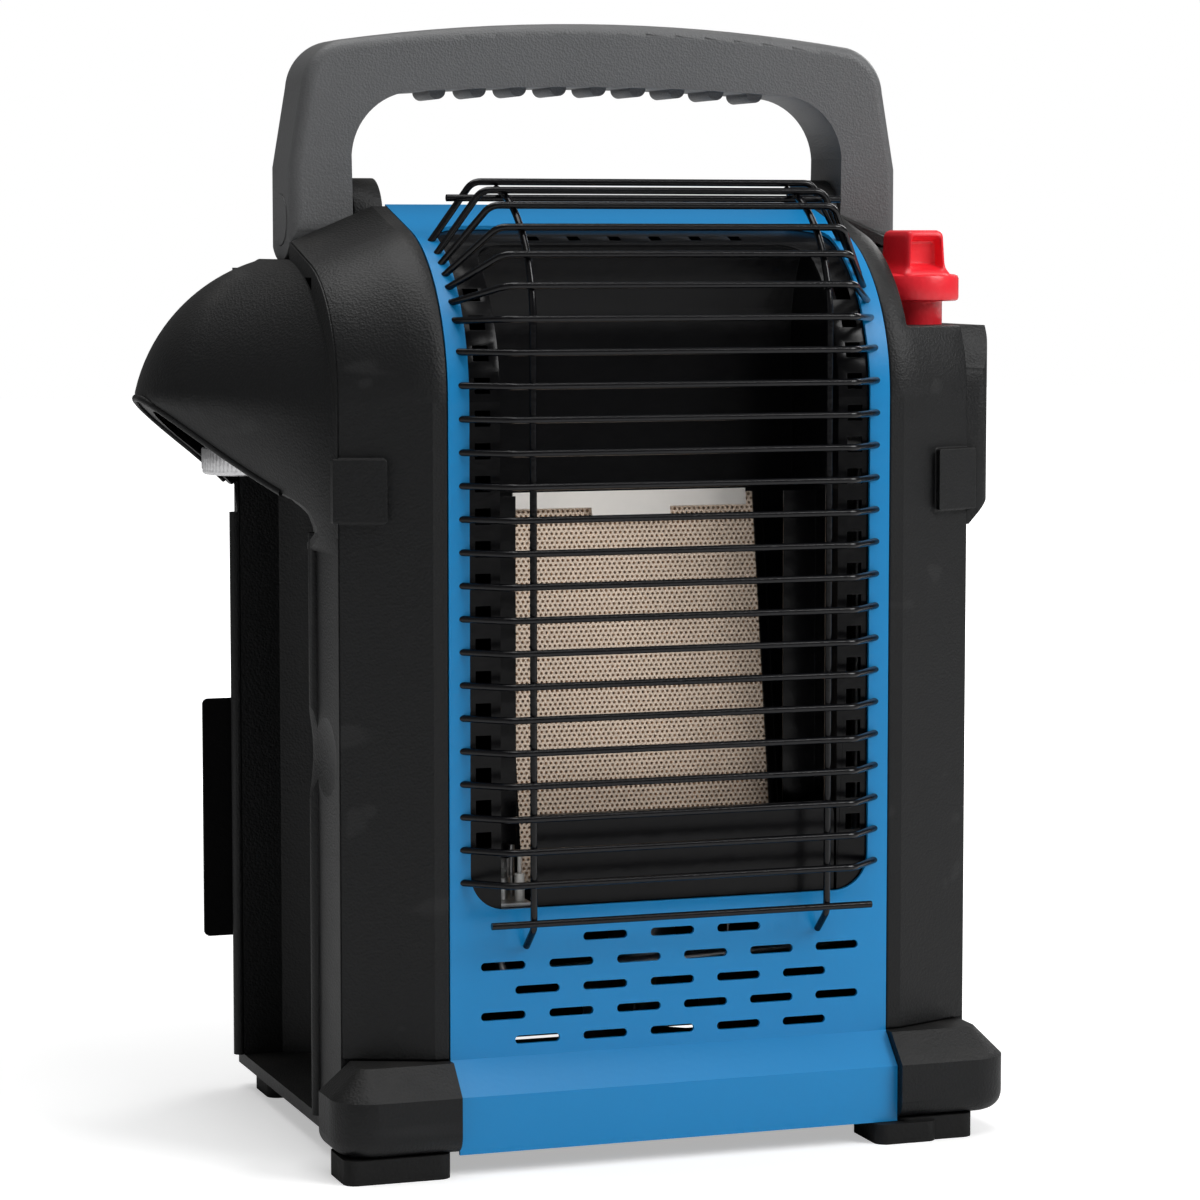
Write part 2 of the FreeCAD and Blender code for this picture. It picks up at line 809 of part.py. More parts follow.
def housing_hollow():
    """Inside of the knob housing and the hole for the knob's neck."""
    wall, top, low = mm("wall"), mm("housing_top_z"), mm("housing_bottom_z")
    far, side, floor = S.housing_half - wall, S.side_half - wall, low - OVER
    hollow = prism(housing_outline(Dim.of(wall)), "XY", floor, top - wall)
    step = mm("housing_half") - mm("side_half")
    slope = Outline(0, floor).to(side, floor).to(side, low + wall).to(far, low + wall + step)
    slope.to(far, FAR).to(0, FAR)
    hollow = hollow.common(prism(slope, "XZ", -FAR, FAR)).common(seam(mm("seam_gap") + wall))
    rear, x, y = mm("housing_rear_y") + OVER, mm("knob_x"), mm("knob_y")
    inside = plain_box(mm("knob_recess_x") - 2 * wall, side.value, y, rear, floor, top - wall)
    hole_radius = mm("neck_radius") + wall / 5
    hole = Part.makeCylinder(hole_radius, wall + 2 * OVER, Vector(x, y, top - wall - OVER))
    return hollow.fuse(inside).fuse(hole)


def hood_radius(z):
    """Radius of the hood's round nose at one height: an arc above the tip, a taper below it."""
    reach, tip_z, top_z = mm("hood_reach"), mm("hood_tip_z"), mm("hood_top_z")
    if z < tip_z:
        leg = mm("bay_y") - hood_front(z)
        share = (z - mm("hood_foot_z")) / (tip_z - mm("hood_foot_z"))
        return leg * math.sin(math.atan(share * math.tan(math.asin(reach / leg))))
    half_chord = math.hypot(reach, top_z - tip_z) / 2
    slant = math.atan2(top_z - tip_z, reach)
    rise = math.sqrt(mm("hood_round") ** 2 - half_chord ** 2)
    centre_r = reach / 2 - rise * math.sin(slant)
    centre_z = (tip_z + top_z) / 2 - rise * math.cos(slant)
    return centre_r + math.sqrt(mm("hood_round") ** 2 - (z - centre_z) ** 2)


def hood_front(z):
    """Where the hood leaves the side's wall in front: at the crease, then round to the rear."""
    start = mm("crease_depth") + mm("seam_gap")
    low, high = mm("hood_side_z"), mm("hood_top_z")
    share = min(max(z - low, 0) / (high - low), 1)
    run = mm("bay_y") - mm("hood_top_half") - start
    return start + run * (1 - math.sqrt(1 - share ** 2))


def hood_section(z, inset):
    """One level outline of the hood: straight from the wall to the round nose and back."""
    x, y, side = -mm("hood_x"), mm("bay_y"), -mm("side_half")
    least = mm("wall")
    radius = max(hood_radius(z), least)
    front, rear_wall = hood_front(z) + inset, mm("bay_rear_y") + mm("wall") * 2 - inset
    if inset:
        above = hood_radius(min(z + inset, mm("hood_top_z") - SLACK)) - inset / 2
        radius = max(min(radius - inset, above), least / 2)
    rear = min(rear_wall, 2 * y - front)
    ends, touches = (Vector(side, front, z), Vector(side, rear, z)), []
    for end, turn in zip(ends, (1, -1)):
        reach = math.hypot(x - end.x, y - end.y)
        lean = math.atan2(y - end.y, x - end.x) + turn * math.asin(radius / reach)
        run = math.sqrt(reach ** 2 - radius ** 2)
        touches.append(end + Vector(math.cos(lean), math.sin(lean), 0) * run)
    nose = Part.Arc(touches[0], Vector(x - radius, y, z), touches[1]).toShape()
    return Part.Wire([Part.makeLine(ends[0], touches[0]), nose,
                      Part.makeLine(touches[1], ends[1]), Part.makeLine(ends[1], ends[0])])


def hood_solid(inset):
    """Regulator hood as a solid through its level outlines."""
    low, high, count = mm("hood_foot_z") - OVER, mm("hood_top_z") - inset - 0.4, 12
    levels = [low + (high - low) * math.sin(math.pi / 2 * i / count) for i in range(count + 1)]
    return Part.makeLoft([hood_section(z, inset) for z in levels], True, True)


def hood_mouth():
    """What stays of the hood: all above its slanted mouth, which turns down into the bay's edge."""
    x, corner, foot = -mm("mouth_x"), mm("mouth_corner"), mm("mouth_foot_z")
    slope = math.radians(mm("mouth_slope"))
    turn = math.pi / 2 - slope
    reach = corner * math.tan(turn / 2)
    knee_z = foot + reach
    start = (x - reach * math.cos(slope), knee_z + reach * math.sin(slope))
    out = mm("hood_reach") + 2 * corner
    path = Outline(0, FAR).to(start[0] - out, FAR)
    path.to(start[0] - out, start[1] + out * math.tan(slope)).to(*start)
    path.arc(x, foot, corner, -1).to(x, mm("hood_foot_z")).to(0, mm("hood_foot_z"))
    kept = prism(path, "XZ", -FAR, FAR)
    return kept.cut(plain_box(-FAR, -mm("panel_half"), mm("bay_front_y"), mm("bay_rear_y"), 0, start[1]))


def bay_solid(radius, front, rear, edge, low, high):
    """The cylinder bay as a solid: flat ends and a round pocket for the gas cylinder."""
    x, y = -mm("bay_x"), mm("bay_y")
    meet = x + math.sqrt(radius ** 2 - (y - front) ** 2)
    meet_rear = x + math.sqrt(radius ** 2 - (rear - y) ** 2)
    a, b, c = Vector(-edge[0], front, low), Vector(meet, front, low), Vector(x + radius, y, low)
    d, e = Vector(meet_rear, rear, low), Vector(-edge[1], rear, low)
    edges = [Part.makeLine(a, b), Part.Arc(b, c, d).toShape(), Part.makeLine(d, e),
             Part.makeLine(e, a)]
    return Part.Face(Part.Wire(edges)).extrude(Vector(0, 0, high - low))


def bay_beads():
    """Round beads that edge the cylinder bay in front and behind."""
    radius, low, high = mm("bead_radius"), mm("bay_floor_z"), mm("mouth_foot_z")
    spots = ((-mm("bay_edge_x"), mm("bay_front_y") - radius),
             (-mm("bay_edge_x") - radius / 2, mm("bay_rear_y") + radius))
    return [Part.makeCylinder(radius, high - low, Vector(x, y, low)) for x, y in spots]


def side_dent():
    """Shallow round dent in the left side for the finger that frees the cylinder."""
    half, depth = mm("dent_half"), mm("dent_depth")
    radius = (half ** 2 + depth ** 2) / (2 * depth)
    x = -mm("side_half") - radius + depth
    return Part.makeSphere(radius, Vector(x, mm("dent_y"), mm("dent_z")))


def left_cover():
    """Left side moulding: wall, regulator hood, cylinder bay, rear post, lug and flare."""
    wall, far, z = mm("wall"), mm("side_half"), mm("handle_recess_z")
    rear, floor, inner = mm("rear_y"), mm("floor_z"), side_inner()
    front_y, back_y, edge = mm("bay_front_y"), mm("bay_rear_y"), mm("bay_edge_x")
    bay_floor, radius = mm("bay_floor_z"), mm("bay_radius")
    right = [cover_front(), recess_wall(), lug(), flare()]
    shell = right[0].multiFuse(right[1:]).mirror(Vector(), Vector(1, 0, 0))
    top = plain_box(-far, -inner, mm("handle_recess_y") - wall, rear, z - wall, z)
    post = plain_box(-edge, wall - edge, back_y, rear, floor, z)
    back = plain_box(-edge, -inner, rear - wall, rear, floor, z)
    sill_front = mm("flare_rear_y") - mm("flare_run")
    sill = plain_box(-edge, wall - edge, sill_front, back_y + OVER, floor, bay_floor)
    near = far - wall / 2
    pocket_outer = bay_solid(radius + wall, front_y - wall, back_y + wall, (near, edge),
                             bay_floor - wall, z - wall / 2)
    inside = bay_solid(radius, front_y, back_y, (far * 2, far * 2), bay_floor, z - wall)
    hood = hood_solid(0).cut(hood_solid(wall)).common(hood_mouth())
    shell = shell.multiFuse([top, post, back, sill, pocket_outer, *bay_beads()]).cut(inside)
    shell = shell.fuse(hood).cut(side_dent())
    gas_line = Part.makeCylinder(mm("line_radius") + wall / 2, mm("panel_half"),
                                 gas_line_points()[1] + Vector(OVER * 10, 0, 0), Vector(1, 0, 0))
    column_space = skin().cut(seam(0)).fuse(latch()).mirror(Vector(), Vector(1, 0, 0))
    bore = pin_bore().mirror(Vector(), Vector(1, 0, 0))
    return feature("left_cover", shell.cut(gas_line).cut(column_space).cut(bore).removeSplitter())


def gas_line_points():
    """Route of the line from the regulator across the back to the valve."""
    start, y, z = mm("drum_rear_y") + mm("outlet_length"), mm("gas_line_y"), mm("drum_z")
    x, fall = mm("knob_x") - 3, 27
    low, valve_y = z - fall, mm("knob_y") + mm("valve_half")
    return [Vector(-mm("drum_x"), start, z), Vector(-mm("drum_x"), y, z), Vector(x - fall, y, z),
            Vector(x, y, low), Vector(x, valve_y, low)]


def lean_outline(u0, u1, v0, v1):
    """A rectangle in the burner's leaning frame: u up along the tile, v back through it."""
    lean, foot_y, foot_z = S.lean, S.lean_y, cavity_floor()

    def spot(u, v):
        return foot_y + u * sin(lean) + v * cos(lean), foot_z + u * cos(lean) - v * sin(lean)

    path = Outline(*spot(u0, v0))
    for u, v in ((u1, v0), (u1, v1), (u0, v1)):
        path.to(*spot(u, v))
    return path


def cavity_floor():
    """Height of the burner cavity's floor, just under the window's lower edge."""
    return S.opening_bottom_z - S.cavity_foot


def lean_slab(half, u0, u1, v0, v1):
    """A plate parallel to the tile, or through it, of the given half width."""
    u0, u1, v0, v1 = (Dim.of(value) for value in (u0, u1, v0, v1))
    return slab("YZ", -Dim.of(half), Dim.of(half), lean_outline(u0, u1, v0, v1))


def ceramic_tile():
    """Slab through whose fine holes the gas burns."""
    tile = lean_slab(S.tile_width / 2, S.tile_foot, S.tile_foot + S.tile_height, S.tile_face,
                     S.tile_face + S.tile_thickness)
    return node(tile, "ceramic_tile")


def tile_gasket():
    """Fibre packing between the tile's edge and the plenum's wall."""
    slack, wall = Dim.of(0.1), S.plenum_wall
    front, back = S.tile_face, S.tile_face + S.tile_thickness
    foot, head = S.tile_foot, S.tile_foot + S.tile_height
    outer = lean_slab(S.plenum_half - wall - slack, slack, head + S.tile_foot - slack * 2, front, back)
    inner = lean_slab(S.tile_width / 2 + slack, foot - slack, head + slack, front - OVER, back + OVER)
    return node(cut(outer, inner), "tile_gasket")


def burner_plenum():
    """Pressed tray behind the tile in which gas and air spread out."""
    wall, head = S.plenum_wall, S.tile_foot * 2 + S.tile_height
    outer = lean_slab(S.plenum_half, -wall, head + wall, S.tile_face, S.plenum_depth)
    inner = lean_slab(S.plenum_half - wall, 0, head, S.tile_face - OVER, S.plenum_depth - wall)
    y, z = plenum_mouth()
    mouth = rod("Y", S.mix_x, y - S.mix_radius, z, S.mix_radius, S.mix_radius * 2)
    return node(cut(outer, inner, mouth), "burner_plenum")


def plenum_mouth():
    """Where the mixing tube's axis meets the back of the plenum."""
    z = S.mix_mouth_z
    rise = z - S.opening_bottom_z + S.plenum_depth * sin(S.lean)
    return S.lean_y + rise * tan(S.lean) + S.plenum_depth * cos(S.lean), z


def burner_frame():
    """Flat ring that clamps the tile's edge to the plenum."""
    front, back, lap = Dim.of(1), S.tile_face - 0.1, Dim.of(1.5)
    ring = lean_slab(S.cavity_half - 1, 1, S.tile_height + lap * 5.4, front, back)
    window = lean_slab(S.tile_width / 2 - lap, S.tile_foot + lap, S.tile_foot + S.tile_height - lap,
                       front - OVER, back + OVER)
    return node(cut(ring, window), "burner_frame")


def tile_top_clip():
    """Bright strip with a stepped tab along the tile's upper edge."""
    strip_half, tab_half, sheet = Dim.of(41.5), Dim.of(14), Dim.of(0.9)
    strip_low, strip_top = S.tile_height - S.tile_foot, S.tile_height + 2.6
    strip = lean_slab(strip_half, strip_low, strip_top, 0, sheet)
    tab = lean_slab(tab_half, strip_low - 3.5, strip_low, 0, sheet)
    return node(fuse(strip, tab), "tile_top_clip")


def cavity_outline(extra):
    """Side view of the burner cavity, grown by a sheet's thickness below and behind."""
    inset = S.liner_inset + S.liner_sheet
    radius = S.bend_radius - inset
    top_y, low = S.cavity_top_y, cavity_floor()
    depth = math.sqrt(radius.value ** 2 - (S.bend_radius.value - top_y.value) ** 2)
    lean_run = (S.lean_top_z - low) * tan(S.lean)
    back, lift, slack = extra * 0.9, extra * 0.4, extra * 0.01
    path = Outline(inset, low - extra).to(inset, S.bend_z)
    path.arc(top_y + back, S.bend_z + depth + lift, radius + slack, -1)
    path.arc(S.cavity_back_y + extra, S.cavity_bend_z, S.cavity_round, -1)
    path.to(S.lean_y + lean_run + extra, S.lean_top_z).to(S.lean_y + extra, low - extra)
    return path


def flange_sheet():
    """The liner's flange: a sheet that follows the blue panel just behind it."""
    low, reach = S.opening_bottom_z - S.flange_lap * 2, S.opening_rear_y + S.flange_lap
    depth = S.liner_inset + S.liner_sheet
    outer = front_curve(Outline(S.liner_inset, low), S.liner_inset, reach)
    bend_start, bend_end, crest = front_curve(Outline(0, 0), depth, reach).points[1:]
    outer.to(*crest).to(*bend_end).arc(*bend_start, S.bend_radius - depth, 1).to(depth, low)
    return prism(outer, "YZ", -mm("liner_half"), mm("liner_half"))


def flange_holes():
    """Square air holes down both sides of the liner's flange and a row across its top."""
    pitch, half, low = mm("flange_hole_pitch"), mm("flange_hole") / 2, mm("opening_bottom_z")
    radius = mm("bend_radius") - mm("liner_inset")
    reach, tools = OVER * 2, []
    straight_count = int((mm("bend_z") - low) / pitch) - 1
    bend_count, top_count, top_half = 4, 6, 2
    for side in (-1, 1):
        x = side * mm("flange_hole_x")
        for index in range(straight_count):
            z = mm("bend_z") - pitch * (index + 0.5)
            tools.append(plain_box(x - half, x + half, 0, 2 * reach, z - half, z + half))
        for index in range(bend_count):
            hole = plain_box(x - half, x + half, -reach, reach, -half, half)
            tools.append(on_bend(hole, radius, math.degrees(pitch * (index + 0.5) / radius)))
    top_turn = mm("bend_turn") - 4
    for index in range(top_count):
        x = mm("top_hole_pitch") * (index - (top_count - 1) / 2)
        hole = plain_box(x - top_half, x + top_half, -reach, reach, -top_half, top_half)
        tools.append(on_bend(hole, radius, top_turn))
    return tools


def on_bend(shape, radius, turn):
    """Carries a tool drawn at the front on to the bend, turned by its angle."""
    spot = Vector(0, mm("bend_radius") - radius * math.cos(math.radians(turn)),
                  mm("bend_z") + radius * math.sin(math.radians(turn)))
    shape = shape.copy()
    shape.Placement = FreeCAD.Placement(spot, FreeCAD.Rotation(Vector(1, 0, 0), -turn))
    return shape


def burner_liner():
    """Black enamelled sheet: pierced flange, cavity walls, curved reflector, side strips."""
    half, sheet, low = mm("cavity_half"), mm("liner_sheet"), cavity_floor().value
    outer = prism(cavity_outline(S.liner_sheet), "YZ", -half - sheet, half + sheet)
    inner = prism(cavity_outline(Dim.of(0)), "YZ", -half, half)
    top = rounded_top(half, mm("cavity_top_y"))
    flange = flange_sheet().cut(top).cut(Part.makeCompound(flange_holes()))
    shell = flange.fuse(outer.cut(inner))
    window_half, head = mm("window_half"), mm("lean_top_z") - 1.8
    sill = mm("cavity_foot") * 5
    shell = shell.cut(plain_box(-window_half, window_half, 0, FAR, low + sill, head))
    y = mm("lean_y")
    for x in (-half, window_half):
        strip = plain_box(x, x + half - window_half, y, y + sheet, low, head)
        shell = shell.fuse(strip)
    for x, y, radius in pilot_rods():
        shell = shell.cut(Part.makeCylinder(radius + 0.1, FAR / 40, Vector(x, y, low - FAR / 80)))
    return feature("burner_liner", shell.removeSplitter())


def rounded_top(half, rear):
    """Cutter for the mouth of the cavity, with round corners at its upper end."""
    corner = 10
    path = Outline(-half, -OVER).to(half, -OVER).to(half, rear - corner)
    path.arc(half - corner, rear, corner, 1).to(corner - half, rear)
    path.arc(-half, rear - corner, corner, 1)
    return prism(path, "XY", mm("opening_bottom_z"), FAR)


def pilot_rods():
    """Axis and radius of the pilot light's foot, the spark electrode and the flame sensor."""
    x, y, beside = -mm("pilot_x"), mm("pilot_y"), 5
    return (x, y, 2.4), (x + beside, y - 6, 1.7), (x + beside, y + 3, 1.5)


def lower_trim():
    """Black plate in front of the tile's foot; the pilot shows in the gap to its left."""
    corner = 5
    low, high = S.opening_bottom_z - S.cavity_foot / 2, S.trim_top_z
    path = Outline(-S.trim_left, low).to(S.trim_right, low).to(S.trim_right, high - corner)
    path.arc(S.trim_right - corner, high, corner, 1).to(-S.trim_left, high)
    y = S.liner_inset + S.liner_sheet + S.fit_gap
    return node(slab("XZ", y, y + S.panel_sheet, path), "lower_trim")


def mixing_tube():
    """Tube in which the jet draws in air, up behind the burner and forward into the plenum."""
    x, y, low, high = mm("mix_x"), mm("mix_y"), mm("mix_foot_z"), mm("mix_mouth_z")
    mouth_y, radius = plenum_mouth()[0].value, mm("mix_radius") - 0.1
    points = [Vector(x, y, low), Vector(x, y, high), Vector(x, mouth_y - 3, high)]
    bend = radius * 1.8
    outer = tube(points, radius, bend)
    points[0] -= Vector(0, 0, OVER)
    points[-1] -= Vector(0, 5, 0)
    pipe = outer.cut(tube(points, radius - mm("tube_wall"), bend))
    port = 7
    for rise in (2 * port, 4 * port):
        window = Part.makeBox(port, 4 * radius, port, Vector(x - port / 2, y - 2 * radius, low + rise))
        pipe = pipe.cut(window)
    return feature("mixing_tube", pipe.cut(plain_plenum()))


def plain_plenum():
    """The plenum's outer shape as a cutter, so that the mixing tube ends flush inside its back."""
    depth = mm("plenum_depth") - mm("plenum_wall")
    base = Part.makeBox(FAR, depth, FAR, Vector(-FAR / 2, 0, -FAR / 20))
    spot = Vector(0, mm("lean_y"), cavity_floor().value)
    base.Placement = FreeCAD.Placement(spot, FreeCAD.Rotation(Vector(1, 0, 0), -mm("lean")))
    return base


def gas_orifice():
    """Brass jet that points up into the foot of the mixing tube."""
    x, y, top = S.mix_x, S.mix_y, S.mix_foot_z - 0.1
    flats, nut_z, shank_z, foot_z = 12, top - 11.9, top - 6.9, top - S.jet_length
    body = fuse(hexagon("Z", x, y, nut_z, flats, shank_z - nut_z),
                rod("Z", x, y, shank_z, 4.5, top - shank_z),
                rod("Z", x, y, foot_z, S.line_radius, nut_z - foot_z))
    bore = rod("Z", x, y, foot_z - OVER, 1.2, top - foot_z + 2 * OVER)
    return node(cut(body, bore), "gas_orifice")


def orifice_bracket():
    """Bent sheet that stands on the base tray and holds the jet under the tube."""
    x, y, half, sheet = S.mix_x, S.mix_y, 16, Dim.of(1.5)
    top, floor = S.mix_foot_z - 12, S.tray_z + S.tray_sheet
    front, back, shelf_sheet = y - 12, y + 18, 2
    shelf = box(x - half, x + half, front, back, top - shelf_sheet, top)
    leg = box(x - half, x + half, back - sheet, back, floor, top)
    toe = box(x - half, x + half, back - sheet, back + 12, floor, floor + sheet)
    hole = rod("Z", x, y, top - shelf_sheet * 2, S.line_radius, shelf_sheet * 3)
    return node(cut(fuse(shelf, leg, toe), hole), "orifice_bracket")


def pilot_parts():
    """Pilot light, spark electrode and flame sensor on one small plate beside the trim."""
    low = S.opening_bottom_z
    floor, foot, front, rear = low + 1.2, 5, 4, 20.8
    (x, y, shank), (spark_x, spark_y, spark), (probe_x, probe_y, probe) = pilot_rods()
    plate = box(x - 3.6, x + 7.6, front, rear, low, floor)
    holes = [rod("Z", at_x, at_y, low - foot, radius + 0.1, foot * 4)
             for at_x, at_y, radius in pilot_rods()]
    node(cut(plate, *holes), "pilot_bracket")
    hood_radius_out, hood_radius_in, hood_height, slit = 3.4, 2.6, 13, 1.2
    hood = cut(rod("Z", x, y, floor, hood_radius_out, hood_height),
               rod("Z", x, y, floor + 4, hood_radius_in, hood_height),
               box(x - slit, x + 5, y - 5, y, floor + 7, floor + 2 * hood_height))
    node(fuse(hood, rod("Z", x, y, floor - foot, shank, foot)), "pilot_burner")
    below, needle_z, needle = 8, floor + 9, 0.7
    insulator = rod("Z", spark_x, spark_y, floor - below, spark, needle_z - floor + below)
    node(fuse(insulator, rod("Z", spark_x, spark_y, needle_z, needle, 6)), "spark_electrode")
    tip_z = floor + 7
    sleeve = rod("Z", probe_x, probe_y, floor - below, probe, tip_z - floor + below)
    node(fuse(sleeve, rod("Z", probe_x, probe_y, tip_z, 1, 10)), "flame_sensor")


def pilot_tube():
    """Thin line from the valve under the burner to the pilot light."""
    x, y, _ = pilot_rods()[0]
    radius, bend, foot, low, start_z = 1.6, 5, 5, 60, 225
    side, knob_y = mm("knob_x") - 20, mm("knob_y")
    bottom = mm("opening_bottom_z") + 1.2 - foot
    points = [Vector(mm("knob_x") - mm("valve_half"), knob_y, start_z),
              Vector(side, knob_y, start_z), Vector(side, knob_y, low), Vector(x, y, low),
              Vector(x, y, bottom)]
    return feature("pilot_tube", tube(points, radius, bend))


def gas_valve():
    """Valve block under the knob, with its stem guide, outlets and inlet."""
    x, y, half = S.knob_x, S.knob_y, S.valve_half
    low, top, guide_top, outlet_low = S.valve_low_z, S.valve_top_z, S.guide_top_z, S.feed_top_z
    block_solid = box(x - half, x + half, y - half, y + half, low, top)
    guide = rod("Z", x, y, top, 8, guide_top - top)
    outlet = rod("Z", x - S.feed_offset, y, outlet_low, 5, low - outlet_low)
    bore = rod("Z", x, y, low + 8, S.stem_radius + 0.3, guide_top - low)
    return node(cut(fuse(block_solid, guide, outlet), bore), "gas_valve")


def valve_bracket():
    """Shelf that carries the valve and the igniter, screwed to the right moulding's wall."""
    x, y, top, sheet = S.knob_x, S.knob_y, S.valve_low_z - 0.1, 1.5
    wall_x, front, rear = S.side_half - S.wall - 0.1, y - 16, y + 34
    shelf = box(x - 16, wall_x, front, rear, top - 1.9, top)
    wall = box(wall_x - sheet, wall_x, front, rear, top - 28, top)
    outlet_hole = rod("Z", x - S.feed_offset, y, S.feed_top_z - 10, 5.1, 30)
    igniter_hole = rod("Z", *igniter_spot(), S.feed_top_z - 10, 3.8, 30)
    return node(cut(fuse(shelf, wall), outlet_hole, igniter_hole), "valve_bracket")


def igniter_spot():
    """Where the igniter's axis stands."""
    return S.knob_x - 5.5, S.knob_y + 18


def piezo_igniter():
    """Igniter that the knob works when it is pushed in."""
    x, y = igniter_spot()
    low, collar_z, plunger_z, top = 172, 209, 212, 224
    collar_top = S.valve_low_z - 2.1
    body = fuse(rod("Z", x, y, low, 6, plunger_z - low),
                rod("Z", x, y, collar_z, 7, collar_top - collar_z),
                rod("Z", x, y, plunger_z, 3.5, top - plunger_z))
    return node(body, "piezo_igniter")


def tip_over_switch():
    """Sealed switch on the base tray that shuts the gas off when the heater tips."""
    floor, x, y = S.tray_z + S.tray_sheet, Dim.of(71), Dim.of(125)
    half, height, cap_half, cap_height = 11, 24, 9, 3
    body = box(x - half, x + half, y - half, y + half, floor, floor + height)
    cap = box(x - cap_half, x + cap_half, y - cap_half, y + cap_half, floor + height,
              floor + height + cap_height)
    ears = box(x - 16, x + 16, y - 4, y + 4, floor, floor + 2)
    return node(fuse(body, cap, ears), "tip_over_switch")


def supply_tube():
    """Gas line from the regulator's swivel across the back to the valve."""
    bend = 7
    return feature("supply_tube", tube(gas_line_points(), mm("line_radius"), bend))


def burner_feed_tube():
    """Gas line from the valve down the side and across the base to the jet."""
    x, y, low, bend = mm("knob_x") - mm("feed_offset"), mm("knob_y"), 19, 5.5
    jet = Vector(mm("mix_x"), mm("mix_y"), mm("mix_foot_z") - 0.1 - mm("jet_length"))
    points = [Vector(x, y, mm("feed_top_z")), Vector(x, y, low), Vector(jet.x, jet.y, low), jet]
    return feature("burner_feed_tube", tube(points, mm("line_radius") - 1, bend))


def heat_shield():
    """Upright sheet between the burner and the gas lines behind it."""
    y, low, top, left, right, foot = S.knob_y * 2, 62, 262, -54, 72, 12
    plate = box(left, right, y, y + S.sheet, low, top)
    hole = rod("Y", S.mix_x, y - OVER, S.mix_mouth_z, S.mix_radius + 1, 3 * OVER)
    lug_plate = box(right - 32, right, y, y + foot, low - S.sheet, low)
    return node(cut(fuse(plate, lug_plate), hole), "heat_shield")


def base_tray():
    """Steel floor that ties the mouldings, the front sheet and the back together."""
    gap, low, sheet = S.fit_gap, S.tray_z, S.tray_sheet
    half, narrow = S.side_half - S.wall - gap, S.panel_half - gap
    rear, step = S.rear_y - S.wall - gap, S.flare_rear_y + gap
    path = Outline(-narrow, 0).to(narrow, 0).to(narrow, step).to(half, step).to(half, rear)
    path.to(-half, rear).to(-half, step).to(-narrow, step)
    tray = slab("XY", low, low + sheet, path)
    slot_width, slot_pitch, first_x, front, back = 24, 32, -62, 40, 46
    starts = [first_x + slot_pitch * index for index in range(4)]
    slots = [rectangle(x, x + slot_width, front, back) for x in starts]
    return node(pocket(tray, "XY", low - OVER, low + sheet + OVER, *slots), "base_tray")


def back_panel():
    """Black sheet: web behind the crest, sloping top deck, round edge and pierced back."""
    sheet, half, corner = S.sheet, S.panel_half, 8
    top, rear, low = S.rear_top_z, S.rear_y - S.fit_gap, S.tray_z + 2
    peak_y, peak_z, deck = S.crest_y + 0.6, S.deck_peak_z, S.deck_end_y
    web_z = peak_z - 14
    path = Outline(peak_y, peak_z).to(deck, top).to(rear - corner, top)
    path.arc(rear, top - corner, corner, -1).to(rear, low).to(rear - sheet, low)
    path.to(rear - sheet, top - corner).arc(rear - corner, top - sheet, corner - sheet, 1)
    path.to(deck, top - sheet).to(peak_y + sheet, peak_z - sheet * 1.6)
    path.to(peak_y + sheet, web_z).to(peak_y, web_z)
    body = slab("YZ", -half, half, path)
    louvre_length, louvre_height, column_pitch, row_pitch, first_x, first_z = 30, 4, 45, 12, -60, 170
    louvres = []
    for column_index in range(3):
        x = first_x + column_pitch * column_index
        for row in range(5):
            z = first_z + row_pitch * row
            louvres.append(rectangle(x, x + louvre_length, z, z + louvre_height))
    return node(pocket(body, "XZ", S.rear_y - corner, S.rear_y + OVER, *louvres), "back_panel")


def stop_plate_spots():
    """Where the four screws of the stop plate sit."""
    return [(Dim.of(x), Dim.of(z)) for x in (-64, -100) for z in (66, 127)]


def cylinder_stop_plate():
    """Steel plate on the back that stands out past the bay and keeps the cylinder in place."""
    left, right, low, top, corner, hole = -122, -52, 54, 139, 2, 2.2
    path = rounded(Dim.of(left), Dim.of(right), Dim.of(low), Dim.of(top), Dim.of(corner))
    holes = [Circle(x, z, hole) for x, z in stop_plate_spots()]
    body = slab("XZ", S.rear_y, S.rear_y + S.tray_sheet, path, *holes)
    return node(body, "cylinder_stop_plate")


def stop_plate_screws():
    """Screws through the stop plate: shank, washer face and hexagon head with a round crown."""
    front, plate_back, washer, head, flats = S.rear_y, S.rear_y + S.tray_sheet, 0.6, 2, 6
    screws = []
    for x, z in stop_plate_spots():
        shank = rod("Y", x, front, z, 2.1, S.tray_sheet)
        face = rod("Y", x, plate_back, z, 4, washer)
        crown = hexagon("Y", x, plate_back + washer, z, flats, head)
        screws.append(fuse(shank, face, crown))
    return node(group(*screws), "stop_plate_screws")


def feet():
    """Rubber feet; the front pair differ as the photograph shows them."""
    front, depth, corner, rear = -12, 22, 4, 122
    places = {
        "front_left_foot": (-115, -79.4, front),
        "front_right_foot": (77, 104, front),
        "rear_left_foot": (-106, -80, rear),
        "rear_right_foot": (80, 104, rear),
    }
    for label, (x0, x1, y0) in places.items():
        path = rounded(*(Dim.of(value) for value in (x0, x1, y0, y0 + depth, corner)))
        foot = slab("XY", 0, S.foot_height, path)
        if label == "front_right_foot":
            toe_left, toe_right = Dim.of(68), Dim.of(90)
            toe_front, toe_rear = Dim.of(front - 2), Dim.of(front + depth)
            pad(foot, "XY", 0, S.apron_bottom_z - S.fit_gap,
                rounded(toe_left, toe_right, toe_front, toe_rear, Dim.of(corner)))
        node(foot, label)


